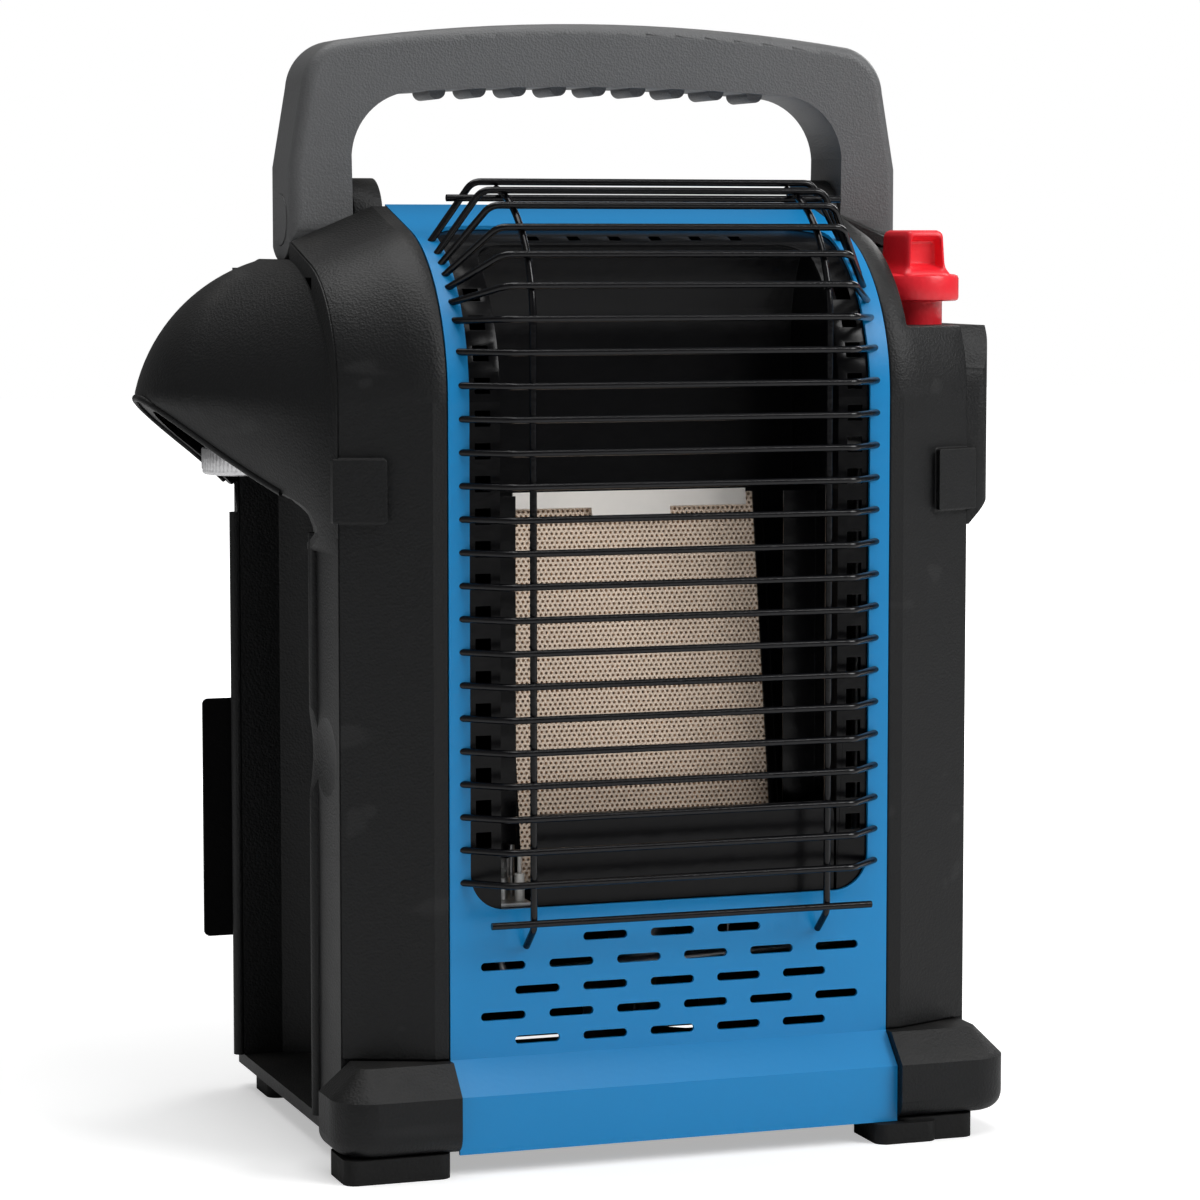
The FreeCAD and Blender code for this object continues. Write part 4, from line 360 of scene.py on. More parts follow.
@dataclass(frozen=True)
class Finishes:
    """Every finish on the heater."""

    blue_paint: Finish = Finish(
        "blue_paint", (0.002, 0.245, 0.58), roughness=0.34, gloss=0.45, tone_scale=9.0,
        tone_amount=0.1, relief_scale=420.0, relief_depth=0.00002)
    moulding: Finish = Finish(
        "black_moulding", (0.004, 0.0043, 0.0047), gloss=0.34, tone_scale=16.0, tone_amount=0.35,
        relief_scale=1100.0, relief_depth=0.0001, dust=0.05, scuff=0.04)
    # Painted sheen: the black handle's colour is a mid grey, far lighter than the black moulding. It
    # stands in for the top lamp's highlight on the handle.
    grip: Finish = Finish(
        "black_grip", (0.115, 0.117, 0.12), roughness=0.45, tone_scale=22.0, relief_scale=1300.0,
        relief_depth=0.0001, dust=0.1, scuff=0.05)
    knob: Finish = Finish(
        "knob_red", (0.95, 0.02, 0.035), roughness=0.36, coat=0.1, gloss=0.45, tone_scale=30.0,
        tone_amount=0.1, relief_scale=700.0, relief_depth=0.00003)
    enamel: Finish = Finish(
        "black_enamel", (0.001, 0.001, 0.0015), roughness=0.24, gloss=0.22, tone_scale=20.0,
        tone_amount=0.5, relief_scale=160.0, relief_depth=0.00005)
    wire: Finish = Finish(
        "black_wire", (0.002, 0.002, 0.003), roughness=0.2, gloss=0.34, tone_scale=40.0,
        tone_amount=0.4, relief_scale=500.0, relief_depth=0.00003)
    tile: Finish = Finish(
        "tile_ceramic", (0.95, 0.78, 0.63), roughness=0.9, gloss=0.2, tone_scale=25.0)
    clip: Finish = Finish(
        "clip_steel", (0.95, 0.91, 0.86), metallic=0.25, tone_scale=25.0, relief="brushing",
        relief_scale=700.0, relief_depth=0.00003)
    steel: Finish = Finish(
        "inner_steel", (0.5, 0.5, 0.5), roughness=0.35, metallic=1.0, tone_scale=25.0,
        tone_amount=0.4, relief="brushing", relief_scale=600.0, relief_depth=0.00004)
    dark_sheet: Finish = Finish(
        "dark_sheet", (0.0015, 0.0015, 0.0018), roughness=0.6, gloss=0.1, tone_scale=16.0,
        tone_amount=0.4, relief_depth=0.00006, dust=0.03)
    packing: Finish = Finish(
        "fibre_packing", (0.75, 0.72, 0.64), roughness=0.9, gloss=0.2, tone_scale=40.0,
        tone_amount=0.4, relief_scale=500.0, relief_depth=0.0002)
    brass: Finish = Finish(
        "brass_fitting", (0.72, 0.5, 0.2), roughness=0.3, metallic=1.0, tone_scale=30.0,
        tone_amount=0.3, relief="brushing", relief_scale=700.0, relief_depth=0.00003)
    alloy: Finish = Finish(
        "cast_alloy", (0.72, 0.72, 0.73), roughness=0.32, metallic=1.0, tone_scale=40.0,
        tone_amount=0.3, relief_scale=700.0, relief_depth=0.00005)
    regulator: Finish = Finish(
        "regulator_coat", (0.008, 0.008, 0.009), gloss=0.4, tone_scale=30.0, tone_amount=0.3,
        relief_scale=800.0, relief_depth=0.0001)
    foot: Finish = Finish(
        "foot_rubber", (0.006, 0.006, 0.006), roughness=0.72, gloss=0.3, tone_scale=30.0,
        tone_amount=0.4, relief_scale=700.0, relief_depth=0.0001)
    seal: Finish = Finish(
        "seal_rubber", (0.02, 0.02, 0.02), roughness=0.6, gloss=0.4, tone_scale=30.0,
        tone_amount=0.3, relief_depth=0.00005)
    insulator: Finish = Finish(
        "insulator", (0.86, 0.84, 0.8), roughness=0.25, coat=0.3, tone_scale=30.0,
        tone_amount=0.1, relief_scale=300.0, relief_depth=0.00002)
    spring: Finish = Finish(
        "spring_steel", (0.6, 0.6, 0.61), roughness=0.25, metallic=1.0, tone_scale=60.0,
        tone_amount=0.3, relief="brushing", relief_depth=0.00002)
    switch: Finish = Finish(
        "switch_plastic", (0.03, 0.03, 0.03), roughness=0.45, gloss=0.4, tone_scale=40.0,
        tone_amount=0.3, relief_depth=0.00005)


class Paintshop:
    """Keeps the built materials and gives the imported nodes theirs."""

    def __init__(self, finishes: Finishes) -> None:
        """Args:
        finishes: the heater's finishes.
        """
        self.by_slot: dict[str, Finish] = {}
        for item in Finishes.__dataclass_fields__:
            finish = getattr(finishes, item)
            self.by_slot[finish.slot] = finish
        self.built: dict[str, Material] = {}

    def material(self, finish: Finish) -> Material:
        """The finish's material, built on its first use."""
        if finish.slot not in self.built:
            self.built[finish.slot] = finish.build()
        return self.built[finish.slot]

    def dress_nodes(self) -> None:
        """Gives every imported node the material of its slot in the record."""
        for row in frame["record"]["subparts"]:
            thing = frame["nodes"][row["node"]]
            thing.data.materials.clear()
            thing.data.materials.append(self.material(self.by_slot[row["material_slot"]]))


@dataclass(frozen=True)
class EdgeRounding:
    """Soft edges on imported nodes: their corners are joined, then rounded over a few steps."""

    widths: tuple[tuple[str, float], ...] = (
        ("left_column", 1.8), ("right_column", 1.8), ("left_cover", 1.0),
        ("right_cover", 1.0), ("handle", 0.9), ("lower_trim", 0.35),
        ("tile_top_clip", 0.25), ("burner_frame", 0.25), ("back_panel", 0.5),
        ("cylinder_stop_plate", 0.4), ("stop_plate_screws", 0.3), ("front_left_foot", 0.9),
        ("front_right_foot", 0.9), ("rear_left_foot", 0.9), ("rear_right_foot", 0.9),
        ("regulator_body", 0.8), ("regulator_cap", 0.8), ("pilot_burner", 0.2), ("pivot_caps", 0.4),
        ("burner_liner", 0.2), ("gas_valve", 0.6), ("swivel_outlet", 0.4), ("tip_over_switch", 0.6),
    )
    join: float = 0.01
    steps: int = 3
    sharp: float = math.radians(34.0)

    def apply(self) -> None:
        """Adds the joining and rounding modifiers."""
        for node, width in self.widths:
            thing = frame["nodes"][node]
            weld = thing.modifiers.new("join", "WELD")
            weld.merge_threshold = self.join * MM
            bevel = thing.modifiers.new("round", "BEVEL")
            bevel.width, bevel.segments = width * MM, self.steps
            bevel.limit_method, bevel.angle_limit = "ANGLE", self.sharp
            bevel.harden_normals, bevel.use_clamp_overlap = True, True
            bevel.miter_outer = "MITER_ARC"


@dataclass
class Workshop:
    """Turns computed points and faces into finished pieces that ride on their bodies."""

    shop: Paintshop

    def piece(self, name: str, points: object, faces: list, finish: Finish, body: str,
              replaced: tuple[str, ...] = (), crease: float = 38.0) -> Thing:
        """Makes one piece.

        Args:
            name: the piece's name.
            points: its corners in drawing millimetres, one row each.
            faces: tuples of corner numbers, outward.
            finish: its finish.
            body: the body that it rides on.
            replaced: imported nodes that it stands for.
            crease: edges sharper than this, in degrees, stay crisp.

        Returns:
            The piece's object.
        """
        mesh = bpy.data.meshes.new(name)
        mesh.from_pydata(((np.asarray(points, float) + ORIGIN) * MM).tolist(), [], faces)
        mesh.materials.append(self.shop.material(finish))
        mesh.shade_smooth()
        mesh.set_sharp_from_angle(angle=math.radians(crease))
        thing = bpy.data.objects.new(name, mesh)
        bpy.context.scene.collection.objects.link(thing)
        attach(thing, body)
        if replaced:
            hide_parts(*replaced)
        return thing


def grid_faces(rows: int, columns: int, closed: bool = True, start: int = 0) -> list[tuple[int, ...]]:
    """Quads of a grid of points, row after row.

    Args:
        rows: number of rows of points.
        columns: points in each row.
        closed: whether each row's last point joins its first.
        start: number of the grid's first point.

    Returns:
        The faces.
    """
    faces = []
    for row in range(rows - 1):
        low, high = start + row * columns, start + (row + 1) * columns
        for column in range(columns if closed else columns - 1):
            after = (column + 1) % columns
            faces.append((low + column, low + after, high + after, high + column))
    return faces


def smooth_route(knots: list[Place], steps: int) -> np.ndarray:
    """A smooth line through given points: a Catmull-Rom curve.

    Args:
        knots: points that the line passes.
        steps: pieces between two of them.

    Returns:
        One row per point of the line.
    """
    line = np.array([knots[0], *knots, knots[-1]], float)
    share = np.linspace(0.0, 1.0, steps, endpoint=False)[:, None]
    parts = []
    for a, b, c, d in zip(line, line[1:], line[2:], line[3:]):
        parts.append(0.5 * (2 * b + (c - a) * share + (2 * a - 5 * b + 4 * c - d) * share ** 2
                            + (3 * b - a - 3 * c + d) * share ** 3))
    return np.vstack([*parts, line[-1:]])


def bar(route: np.ndarray, radii: tuple[float, float], sides: int = 14) -> tuple[np.ndarray, list]:
    """An oval bar along a line: each ring is turned from the last so that it never twists.

    Args:
        route: points of the line.
        radii: half height and half width of the section.
        sides: corners of one ring.

    Returns:
        Points and faces, closed at both ends.
    """
    along = np.gradient(route, axis=0)
    along /= np.linalg.norm(along, axis=1)[:, None]
    side = np.cross(along[0], (0.0, 0.0, 1.0))
    if np.linalg.norm(side) < NEARLY_UPRIGHT:
        side = np.cross(along[0], (0.0, 1.0, 0.0))
    turns = 2 * math.pi * np.arange(sides) / sides
    rings = []
    for point, ahead in zip(route, along):
        side = side - ahead * np.dot(side, ahead)
        side /= np.linalg.norm(side)
        up = np.cross(side, ahead)
        tall, wide = radii[0] * np.cos(turns), radii[1] * np.sin(turns)
        rings.append(point + np.outer(tall, up) + np.outer(wide, side))
    count = len(route)
    faces = grid_faces(count, sides)
    faces.append(tuple(reversed(range(sides))))
    faces.append(tuple(range((count - 1) * sides, count * sides)))
    return np.vstack(rings), faces


@dataclass
class Burner:
    """The burner's tile, with the fine holes through which the gas burns."""

    workshop: Workshop
    finish: Finish
    half: float = 46.0
    foot: float = 3.0
    height: float = 132.0
    face: float = 2.2
    thickness: float = 13.0
    lean: float = math.radians(9.0)
    lean_y: float = 21.0
    floor_z: float = 84.0
    pitch: float = 1.72
    hole: float = 0.56
    depth: float = 2.4

    def build(self) -> None:
        """Makes the pierced tile: cells in offset rows, each with a six-sided pit."""
        columns = int(2 * self.half / self.pitch)
        rows = int(self.height / (self.pitch * math.sin(math.pi / 3)))
        across = 2 * columns + 1
        step_x, step_u = self.half / columns, self.height / rows
        column, row = np.meshgrid(np.arange(across), np.arange(rows + 1))
        flat = np.stack([column * step_x - self.half, row * step_u + self.foot], axis=-1).reshape(-1, 2)
        points, faces = [np.column_stack([flat, np.full(len(flat), self.face)])], []
        total = len(flat)
        for level in range(rows):
            low, high = level * across, (level + 1) * across
            first = level % 2
            if first:
                for left in (0, across - 2):
                    faces.append((low + left, low + left + 1, high + left + 1, high + left))
            for start in range(first, across - 2, 2):
                rim = [low + start, low + start + 1, low + start + 2,
                       high + start + 2, high + start + 1, high + start]
                centre = ((start + 1) * step_x - self.half, (level + 0.5) * step_u + self.foot)
                points += self.pit(centre)
                faces += self.cell(rim, total)
                total += 2 * HEX_SIDES
        back, sides = self.back(flat, rows, across, total)
        points.append(back)
        self.workshop.piece("burner_tile", self.stand(np.vstack(points)), faces + sides, self.finish,
                            "heater", ("ceramic_tile",))

    def pit(self, centre: tuple[float, float]) -> list[np.ndarray]:
        """A pit's mouth and floor, six points each."""
        turns = math.radians(210.0) + math.pi / 3 * np.arange(HEX_SIDES)
        mouth = self.hole * np.column_stack([np.cos(turns), np.sin(turns)]) + centre
        depths = (self.face, self.face + self.depth)
        return [np.column_stack([mouth, np.full(HEX_SIDES, depth)]) for depth in depths]

    @staticmethod
    def cell(rim: list[int], mouth: int) -> list[tuple[int, ...]]:
        """Faces of one cell.

        Args:
            rim: the cell's six corners.
            mouth: number of the pit's first point.

        Returns:
            The face round the pit in six parts, the pit's walls and its floor.
        """
        floor = mouth + HEX_SIDES
        faces = []
        for corner in range(HEX_SIDES):
            after = (corner + 1) % HEX_SIDES
            faces.append((rim[corner], rim[after], mouth + after, mouth + corner))
            faces.append((mouth + corner, mouth + after, floor + after, floor + corner))
        return [*faces, tuple(range(floor, floor + HEX_SIDES))]

    def back(self, flat: np.ndarray, rows: int, across: int, total: int) -> tuple[np.ndarray, list]:
        """The tile's edges and plain back.

        Args:
            flat: the front's lattice.
            rows: rows of cells.
            across: lattice points in one row.
            total: number of the first point of the back.

        Returns:
            The back's points and the faces that close the tile.
        """
        edge = [*range(across), *range(2 * across - 1, (rows + 1) * across, across),
                *range((rows + 1) * across - 2, rows * across - 1, -1),
                *range((rows - 1) * across, 0, -across)]
        count = len(edge)
        points = np.column_stack([flat[edge], np.full(count, self.face + self.thickness)])
        faces: list[tuple[int, ...]] = []
        for index in range(count):
            after = (index + 1) % count
            faces.append((edge[after], edge[index], total + index, total + after))
        faces.append(tuple(range(total + count - 1, total - 1, -1)))
        return points, faces

    def stand(self, flat: np.ndarray) -> np.ndarray:
        """Places (x, up, back) coordinates of the leaning tile in the drawing."""
        x, up, back = flat.T
        y = self.lean_y + up * math.sin(self.lean) + back * math.cos(self.lean)
        z = self.floor_z + up * math.cos(self.lean) - back * math.sin(self.lean)
        return np.column_stack([x, y, z])


@dataclass
class Inlet:
    """The gas inlet under the hood: a knurled ring with the cylinder's thread inside."""

    workshop: Workshop
    finish: Finish
    x: float = -120.0
    y: float = 92.0
    low: float = 222.0
    high: float = 240.0
    radius: float = 15.0
    bore: float = 12.2
    thread_pitch: float = 1.27
    thread_depth: float = 0.7
    thread_length: float = 9.0
    thread_fade: float = 0.6
    end_room: float = 0.05
    thread_steps: int = 60
    ridges: int = 60
    ridge_depth: float = 0.35
    lower_lip: tuple[tuple[float, float], ...] = ((0.0, 1.3), (0.35, 0.6), (0.9, 0.25))
    knurl: tuple[tuple[float, bool], ...] = ((1.6, False), (2.0, True), (8.6, True), (9.0, False))
    upper_wall: tuple[tuple[float, float], ...] = ((9.4, 1.1), (10.4, 1.1), (10.9, 0.3),
                                                   (17.2, 0.3), (18.0, 1.0))
    throat_inset: float = 1.0
    throat_foot: float = 9.2
    per_ridge: int = 4

    def build(self) -> None:
        """Makes the ring: ridged outer wall, rounded lips, helical groove inside."""
        sides = self.ridges * self.per_ridge
        turns = 2 * math.pi * np.arange(sides) / sides
        rings = [*self.wall(turns), *self.thread(turns)]
        points = np.vstack([np.column_stack([self.x + r * np.cos(turns), self.y + r * np.sin(turns),
                                             np.full(sides, self.low + z)]) for z, r in rings])
        faces = grid_faces(len(rings), sides)
        last = (len(rings) - 1) * sides
        faces += [(last + i, last + (i + 1) % sides, (i + 1) % sides, i) for i in range(sides)]
        self.workshop.piece("inlet_ring", points, faces, self.finish, "regulator",
                            ("inlet_fitting",), 50.0)

    def wall(self, turns: np.ndarray) -> list[tuple[float, np.ndarray]]:
        """Heights and radii of the outer wall and the throat, from the foot up and in."""
        round_wall = np.ones(len(turns))
        ridged = self.radius - self.ridge_depth * (0.5 - 0.5 * np.cos(self.ridges * turns))
        plain = (self.radius - self.ridge_depth) * round_wall
        rings = [(z, (self.radius - inset) * round_wall) for z, inset in self.lower_lip]
        rings += [(z, ridged if cut else plain) for z, cut in self.knurl]
        rings += [(z, (self.radius - inset) * round_wall) for z, inset in self.upper_wall]
        throat = (self.bore - self.throat_inset) * round_wall
        return [*rings, (self.high - self.low, throat), (self.throat_foot, throat)]

    def thread(self, turns: np.ndarray) -> list[tuple[float, np.ndarray]]:
        """Heights and radii of the thread, from its end down to the mouth."""
        rings = []
        for step in range(self.thread_steps + 1):
            z = self.thread_length * (1.0 - step / self.thread_steps)
            phase = (z / self.thread_pitch - turns / (2 * math.pi)) % 1.0
            groove = self.thread_depth * np.abs(2.0 * phase - 1.0)
            left = self.thread_length + self.end_room - z
            fade = min(1.0, z / self.thread_fade, left / self.thread_fade)
            rings.append((z, self.bore + groove * fade))
        return rings


@dataclass
class Hood:
    """The regulator hood's smooth outer skin and the rolled bead along its slanted mouth."""

    workshop: Workshop
    finish: Finish
    side: float = -110.0
    nose_x: float = -112.0
    nose_y: float = 92.0
    foot_z: float = 200.0
    side_z: float = 230.0
    tip_z: float = 248.0
    top_z: float = 294.7
    reach: float = 45.0
    round_radius: float = 60.0
    front_y: float = 11.8
    top_half: float = 12.0
    rear_y: float = 146.5
    mouth_z: float = 205.5
    corner: float = 14.0
    slope: float = math.radians(38.4)
    bay: tuple[float, float] = (42.5, 141.5)
    proud: float = 0.25
    sheet: float = 0.9
    least_radius: float = 1.0
    least_skin: float = 0.4
    nose_steps: int = 60
    levels: int = 150
    first_rise: float = 1.0
    top_gap: float = 0.6
    bead_rise: float = 12.5
    bead_radii: tuple[float, float] = (1.25, 1.0)
    bead_sides: int = 12

    def radius(self, z: float) -> float:
        """Radius of the nose: a taper below the tip, an arc above it."""
        if z < self.tip_z:
            leg = self.nose_y - self.front(z)
            share = (z - self.foot_z) / (self.tip_z - self.foot_z)
            lean = math.atan(share * math.tan(math.asin(self.reach / leg)))
            return max(leg * math.sin(lean), self.least_radius)
        rise = self.top_z - self.tip_z
        half_chord = math.hypot(self.reach, rise) / 2
        slant = math.atan2(rise, self.reach)
        out = math.sqrt(self.round_radius ** 2 - half_chord ** 2)
        centre_r = self.reach / 2 - out * math.sin(slant)
        centre_z = (self.tip_z + self.top_z) / 2 - out * math.cos(slant)
        round_part = math.sqrt(self.round_radius ** 2 - (z - centre_z) ** 2)
        return max(centre_r + round_part, self.least_radius)

    def front(self, z: float) -> float:
        """Where the skin leaves the side: along the crease, then a quarter of an ellipse."""
        share = min(max(z - self.side_z, 0.0) / (self.top_z - self.side_z), 1.0)
        run = self.nose_y - self.top_half - self.front_y
        return self.front_y + run * (1 - math.sqrt(1 - share ** 2))

    def outline(self, z: float, count: int, inset: float) -> np.ndarray:
        """One level of the skin: straight from the side, round the nose, straight back.

        Args:
            z: height of the level.
            count: number of points.
            inset: how far inside the outer skin.

        Returns:
            Points evenly spread along the level.
        """
        front = self.front(z)
        rear = min(self.rear_y, 2 * self.nose_y - front)
        radius = max(self.radius(z) + self.proud - inset, self.least_skin)
        line = []
        for end_y, turn in ((front - self.proud + inset, 1), (rear + self.proud - inset, -1)):
            dx, dy = self.nose_x - self.side, self.nose_y - end_y
            lean = math.atan2(dy, dx) + turn * math.asin(min(radius / math.hypot(dx, dy), 1.0))
            run = math.sqrt(max(dx * dx + dy * dy - radius * radius, 0.0))
            touch = (self.side + math.cos(lean) * run, end_y + math.sin(lean) * run)
            line.append(((self.side, end_y), touch))
        (start, touch), (end, leave) = line
        first = math.atan2(touch[1] - self.nose_y, touch[0] - self.nose_x) % (2 * math.pi)
        last = math.atan2(leave[1] - self.nose_y, leave[0] - self.nose_x) % (2 * math.pi)
        turns = np.linspace(first, last, self.nose_steps)
        nose = np.column_stack([self.nose_x + radius * np.cos(turns),
                                self.nose_y + radius * np.sin(turns)])
        path = np.vstack([[start], nose, [end]])
        run = np.concatenate([[0.0], np.cumsum(np.linalg.norm(np.diff(path, axis=0), axis=1))])
        at = np.linspace(0.0, run[-1], count)
        return np.column_stack([np.interp(at, run, path[:, 0]), np.interp(at, run, path[:, 1]),
                                np.full(count, z)])

    def mouth(self, line: np.ndarray) -> np.ndarray:
        """Height of the slanted mouth at each point: an arc at the bay's edge, then a slope."""
        out = self.nose_x - line[:, 0]
        bend = math.pi / 2 - self.slope
        knee = self.corner * (1 - math.cos(bend)), self.corner * math.sin(bend)
        arc = self.corner * np.sin(np.arccos(np.clip(1 - out / self.corner, -1.0, 1.0)))
        rise = np.where(out > knee[0], knee[1] + (out - knee[0]) * math.tan(self.slope), arc)
        inside = (line[:, 1] > self.bay[0]) & (line[:, 1] < self.bay[1])
        return self.mouth_z + np.where(inside, np.maximum(rise, knee[1]), np.maximum(rise, 0.0))

    def surface(self, inset: float, columns: int = 90, rows: int = 40) -> np.ndarray:
        """Grid of the skin from its mouth to its top.

        Args:
            inset: how far inside the outer skin.
            columns: points along each level.
            rows: levels.

        Returns:
            An array rows by columns by three.
        """
        low_z, high_z = self.foot_z + self.first_rise, self.top_z - self.top_gap
        levels = low_z + (high_z - low_z) * np.sin(np.linspace(0, math.pi / 2, self.levels))
        stack = np.array([self.outline(z, columns, inset) for z in levels])
        grid = np.empty((rows, columns, 3))
        share = np.sin(np.linspace(0, math.pi / 2, rows))
        for column in range(columns):
            line = stack[:, column]
            open_part = np.nonzero(line[:, 2] >= self.mouth(line))[0]
            start = float(open_part[0]) if len(open_part) else 0.0
            if start > 0:
                gap = line[:, 2] - self.mouth(line)
                low = int(start) - 1
                start = low + gap[low] / (gap[low] - gap[low + 1])
            at = start + (self.levels - 1 - start) * share
            for axis in range(3):
                grid[:, column, axis] = np.interp(at, np.arange(self.levels), line[:, axis])
        return grid

    def build(self) -> None:
        """Makes the skin as one closed sheet, and the bead on its rim."""
        outer, inner = self.surface(0.0), self.surface(self.sheet)
        rows, columns = outer.shape[:2]
        count = rows * columns
        faces = [tuple(reversed(face)) for face in grid_faces(rows, columns, False)]
        faces += grid_faces(rows, columns, False, count)
        rim = [row * columns for row in range(rows)]
        rim += [(rows - 1) * columns + column for column in range(1, columns)]
        rim += [row * columns + columns - 1 for row in range(rows - 2, -1, -1)]
        rim += list(range(columns - 2, 0, -1))
        faces += [(a, b, b + count, a + count) for a, b in zip(rim, rim[1:] + rim[:1])]
        points = np.vstack([outer.reshape(-1, 3), inner.reshape(-1, 3)])
        self.workshop.piece("hood_skin", points, faces, self.finish, "heater", (), 60.0)
        edge = outer[0][outer[0][:, 2] > self.mouth_z + self.bead_rise][::2]
        route = smooth_route(list(map(tuple, edge)), 4)
        beads, faces = bar(route, self.bead_radii, self.bead_sides)
        self.workshop.piece("hood_bead", beads, faces, self.finish, "heater")


@dataclass
class Knob:
    """The red knob: turned neck and disc, and a grip bar with a scoop in each face."""

    workshop: Workshop
    finish: Finish
    x: float = 102.0
    y: float = 40.0
    foot: float = 272.0
    profile: tuple[tuple[float, float], ...] = (
        (9.6, -5.9), (10.0, -5.5), (10.0, 7.6), (10.3, 8.0), (14.6, 8.0), (15.3, 8.4),
        (15.6, 9.2), (15.6, 15.6), (15.2, 16.6), (14.2, 17.0), (8.0, 17.6))
    sides: int = 72
    grip_foot: float = 16.4
    grip_height: float = 15.6
    grip_half: tuple[float, float] = (7.6, 12.0)
    grip_sides: int = 96
    grip_levels: int = 26
    taper: float = 0.8
    crown: float = 2.4
    crown_inset: float = 1.6
    fillet: float = 1.6
    fillet_rise: float = 2.2
    squareness: float = 0.22
    scoop: float = 4.2
    scoop_foot: tuple[float, float] = (18.0, 3.0)
    scoop_top: tuple[float, float] = (30.4, 2.6)
    scoop_wall: float = 1.3
    scoop_edge: float = 1.6

    def build(self) -> None:
        """Makes the knob's turned part and its grip."""
        turns = 2 * math.pi * np.arange(self.sides) / self.sides
        rings = [np.column_stack([self.x + r * np.cos(turns), self.y + r * np.sin(turns),
                                  np.full(self.sides, self.foot + z)]) for r, z in self.profile]
        self.workshop.piece("knob_disc", *self.stack(rings), self.finish, "gas_knob", ("knob",))
        self.workshop.piece("knob_grip", *self.stack(self.grip()), self.finish, "gas_knob", (), 30.0)

    @staticmethod
    def stack(rings: list[np.ndarray]) -> tuple[np.ndarray, list]:
        """Joins rings from the foot up and closes both ends.

        Args:
            rings: closed outlines with equally many points.

        Returns:
            Points and faces.
        """
        sides, last = len(rings[0]), (len(rings) - 1) * len(rings[0])
        faces = grid_faces(len(rings), sides)
        faces.append(tuple(reversed(range(sides))))
        faces.append(tuple(range(last, last + sides)))
        return np.vstack(rings), faces

    def grip(self) -> list[np.ndarray]:
        """The grip's rounded outlines from its foot up: thick at its ends, hollowed between."""
        turns = 2 * math.pi * np.arange(self.grip_sides) / self.grip_sides
        across, along = np.cos(turns), np.sin(turns)
        square_x = np.sign(across) * np.abs(across) ** self.squareness
        square_y = np.sign(along) * np.abs(along) ** self.squareness
        rings = []
        for level in range(self.grip_levels):
            share = level / (self.grip_levels - 1)
            z = self.grip_foot + self.grip_height * share
            top = max(0.0, (z - self.grip_foot - self.grip_height + self.crown) / self.crown)
            inset = self.crown_inset * (1 - math.sqrt(max(1 - top ** 2, 0.0))) + self.taper * share
            half_x, half_y = self.grip_half[0] - inset, self.grip_half[1] - inset
            flare = self.fillet * math.exp(-((z - self.grip_foot) / self.fillet_rise) ** 2)
            x, y = (half_x + flare) * square_x, (half_y + flare) * square_y
            y = np.sign(y) * (np.abs(y) - self.hollow(z, x, half_x))
            rings.append(np.column_stack([self.x + x, self.y + y,
                                          np.full(self.grip_sides, self.foot + z)]))
        return rings

    def hollow(self, z: float, x: np.ndarray, half_x: float) -> np.ndarray:
        """How deep the scoops are.

        Args:
            z: height over the knob's foot.
            x: distances across the grip.
            half_x: half the grip's width at that height.

        Returns:
            The depth at each distance, with soft ends up, down and to both sides.
        """
        low, high = self.scoop_foot, self.scoop_top
        rise = min(max((z - low[0]) / low[1], 0.0), 1.0) * min(max((high[0] - z) / high[1], 0.0), 1.0)
        window = np.clip((half_x - self.scoop_wall - np.abs(x)) / self.scoop_edge, 0.0, 1.0)
        return self.scoop * (rise * rise * (3 - 2 * rise)) * (window * window * (3 - 2 * window))


@dataclass(frozen=True)
class Lamp:
    """A square area lamp aimed at the heater: place and size in metres, power in watts."""

    name: str
    place: Place
    size: float
    power: float


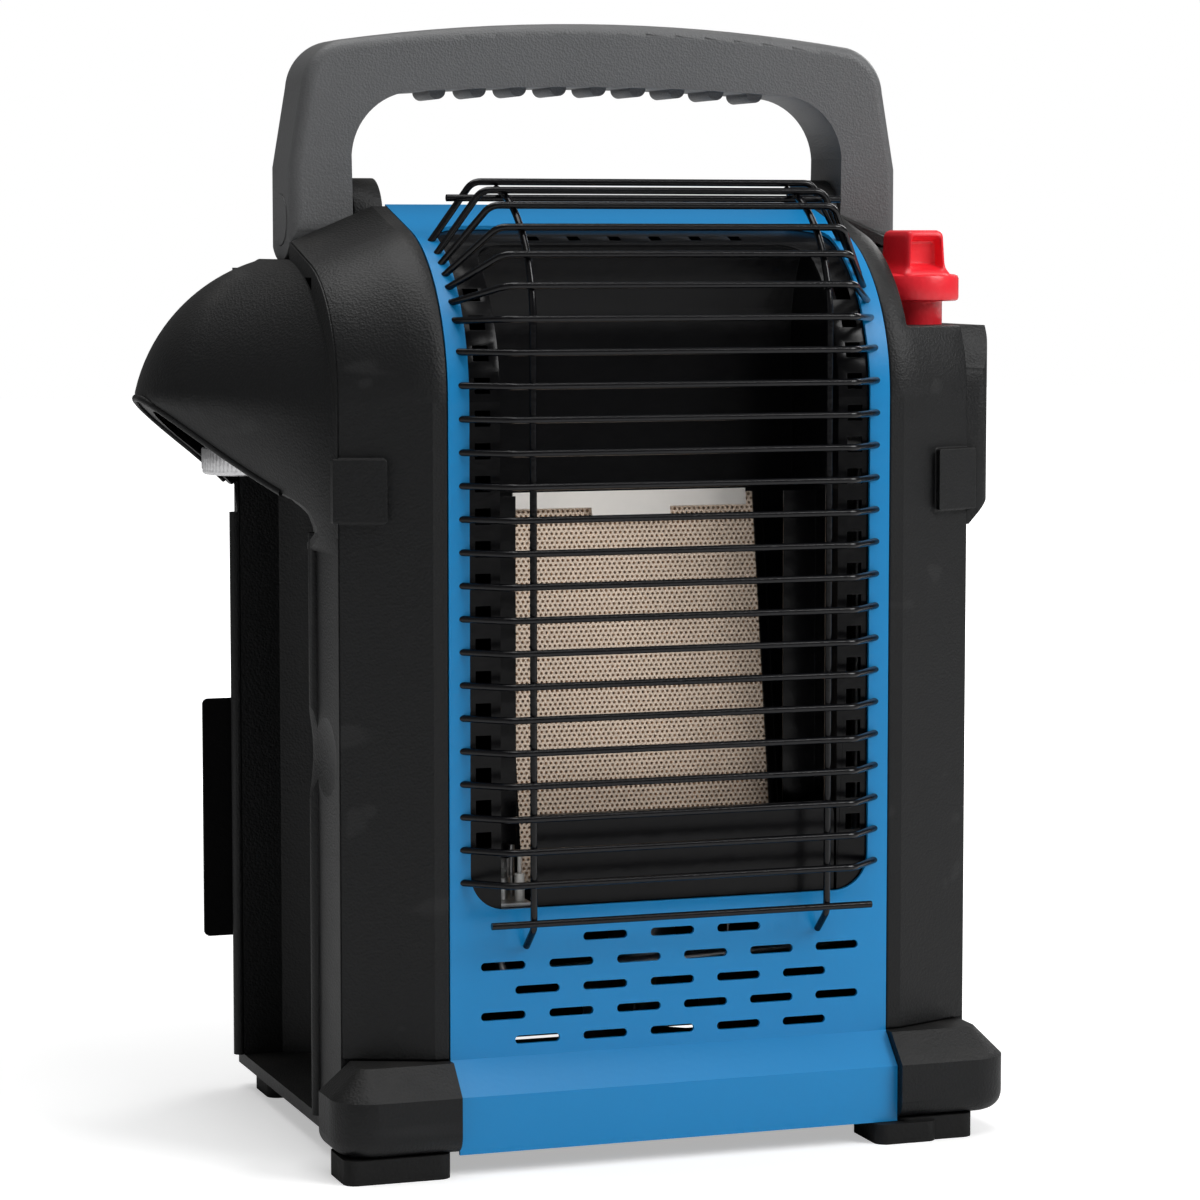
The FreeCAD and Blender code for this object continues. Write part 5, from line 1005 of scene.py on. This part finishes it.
@dataclass(frozen=True)
class Studio:
    """Floor, backdrop, lamps and camera, in metres and degrees."""

    camera_place: Place = (-0.42273, -1.27033, 0.30153)
    yaw: float = 19.11
    pitch: float = 5.27
    lens: float = 117.9
    sensor: float = 36.0
    far_end: float = 50.0
    surroundings: float = 0.14
    floor_half: float = 6.0
    floor_tones: tuple[Colour, Colour] = ((0.9, 0.9, 0.9), (0.93, 0.93, 0.93))
    floor_roughness: float = 0.7
    glow: tuple[float, float] = (0.42, 0.85)
    glow_reach: tuple[float, float] = (0.3, 1.1)
    target: Place = (0.0, 0.0, 0.18)
    lights: tuple[Lamp, ...] = (
        Lamp("key", (1.5, -1.4, 1.5), 1.1, 31.0),
        Lamp("front", (0.2, -0.7, 2.1), 0.8, 9.0),
        Lamp("fill", (-1.9, -1.0, 0.9), 1.3, 1.0),
        Lamp("top", (-0.2, 0.3, 2.1), 1.3, 18.0),
        Lamp("rim", (1.5, 1.2, 1.2), 0.9, 10.0),
    )

    def build(self) -> None:
        """Makes the whole studio."""
        self.camera()
        self.world()
        self.floor()
        self.lamps()

    def camera(self) -> None:
        """Camera at the photograph's viewpoint, looking along its yaw and pitch."""
        data = bpy.data.cameras.new("camera")
        data.lens, data.sensor_width, data.clip_end = self.lens, self.sensor, self.far_end
        camera = bpy.data.objects.new("camera", data)
        bpy.context.scene.collection.objects.link(camera)
        camera.location = self.camera_place
        camera.rotation_euler = (math.radians(90.0 - self.pitch), 0.0, -math.radians(self.yaw))
        bpy.context.scene.camera = camera

    def world(self) -> None:
        """Pale surroundings: white to the camera, a plain soft grey as light."""
        world = bpy.data.worlds.new("world")
        world.use_nodes = True
        bpy.context.scene.world = world
        w = Wiring(world.node_tree)
        background = w.tree.nodes["Background"]
        path = w.add("ShaderNodeLightPath")
        seen = w.math("MAXIMUM", path.outputs["Is Camera Ray"], path.outputs["Is Transmission Ray"])
        w.put(background.inputs["Color"], (1.0, 1.0, 1.0, 1.0))
        strength = w.math("MULTIPLY_ADD", seen, 1.0 - self.surroundings, self.surroundings)
        w.put(background.inputs["Strength"], strength)

    def floor(self) -> None:
        """Pale floor that keeps the heater's soft shadow."""
        half = self.floor_half
        mesh = bpy.data.meshes.new("floor")
        corners = [(-half, -half, 0.0), (half, -half, 0.0), (half, half, 0.0), (-half, half, 0.0)]
        mesh.from_pydata(corners, [], [(0, 1, 2, 3)])
        thing = bpy.data.objects.new("floor", mesh)
        bpy.context.scene.collection.objects.link(thing)
        mesh.materials.append(self.floor_material())

    def floor_material(self) -> Material:
        """Matt pale grey that brightens towards white away from the heater."""
        material = bpy.data.materials.new("floor")
        material.use_nodes = True
        w = Wiring(material.node_tree)
        shader = w.tree.nodes["Principled BSDF"]
        place = w.add("ShaderNodeTexCoord").outputs["Object"]
        tone = w.ramp(w.noise(place, 3.0), 0.2, 0.8)
        w.put(shader.inputs["Base Color"], w.mix(tone, *self.floor_tones))
        shader.inputs["Roughness"].default_value = self.floor_roughness
        seen = w.add("ShaderNodeLightPath").outputs["Is Camera Ray"]
        away = w.add("ShaderNodeVectorMath", {"operation": "LENGTH"}, Vector=place).outputs["Value"]
        near, rise = self.glow
        light = w.math("MULTIPLY_ADD", w.ramp(away, *self.glow_reach), rise, near)
        shader.inputs["Emission Color"].default_value = (1.0, 1.0, 1.0, 1.0)
        w.put(shader.inputs["Emission Strength"], w.math("MULTIPLY", seen, light))
        return material

    def lamps(self) -> None:
        """Broad soft lamps: key from above right, fill from the left, others for the edges."""
        for light in self.lights:
            data = bpy.data.lights.new(light.name, "AREA")
            data.shape, data.size, data.energy = "SQUARE", light.size, light.power
            lamp = bpy.data.objects.new(light.name, data)
            bpy.context.scene.collection.objects.link(lamp)
            lamp.location = light.place
            aim = Vector(self.target) - lamp.location
            lamp.rotation_euler = aim.to_track_quat("-Z", "Y").to_euler()


def main() -> None:
    """Builds the heater's looks in order."""
    logging.basicConfig(level=logging.INFO, format="%(message)s")
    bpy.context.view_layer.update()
    scene = bpy.context.scene
    scene.view_settings.view_transform = "Standard"
    finishes = Finishes()
    shop = Paintshop(finishes)
    shop.dress_nodes()
    EdgeRounding().apply()
    workshop = Workshop(shop)
    makers = (Burner(workshop, finishes.tile), Inlet(workshop, finishes.alloy),
              Hood(workshop, finishes.moulding), Knob(workshop, finishes.knob))
    for maker in makers:
        maker.build()
        LOG.info("built %s", type(maker).__name__)
    Studio().build()


if __name__ == "__main__":
    main()
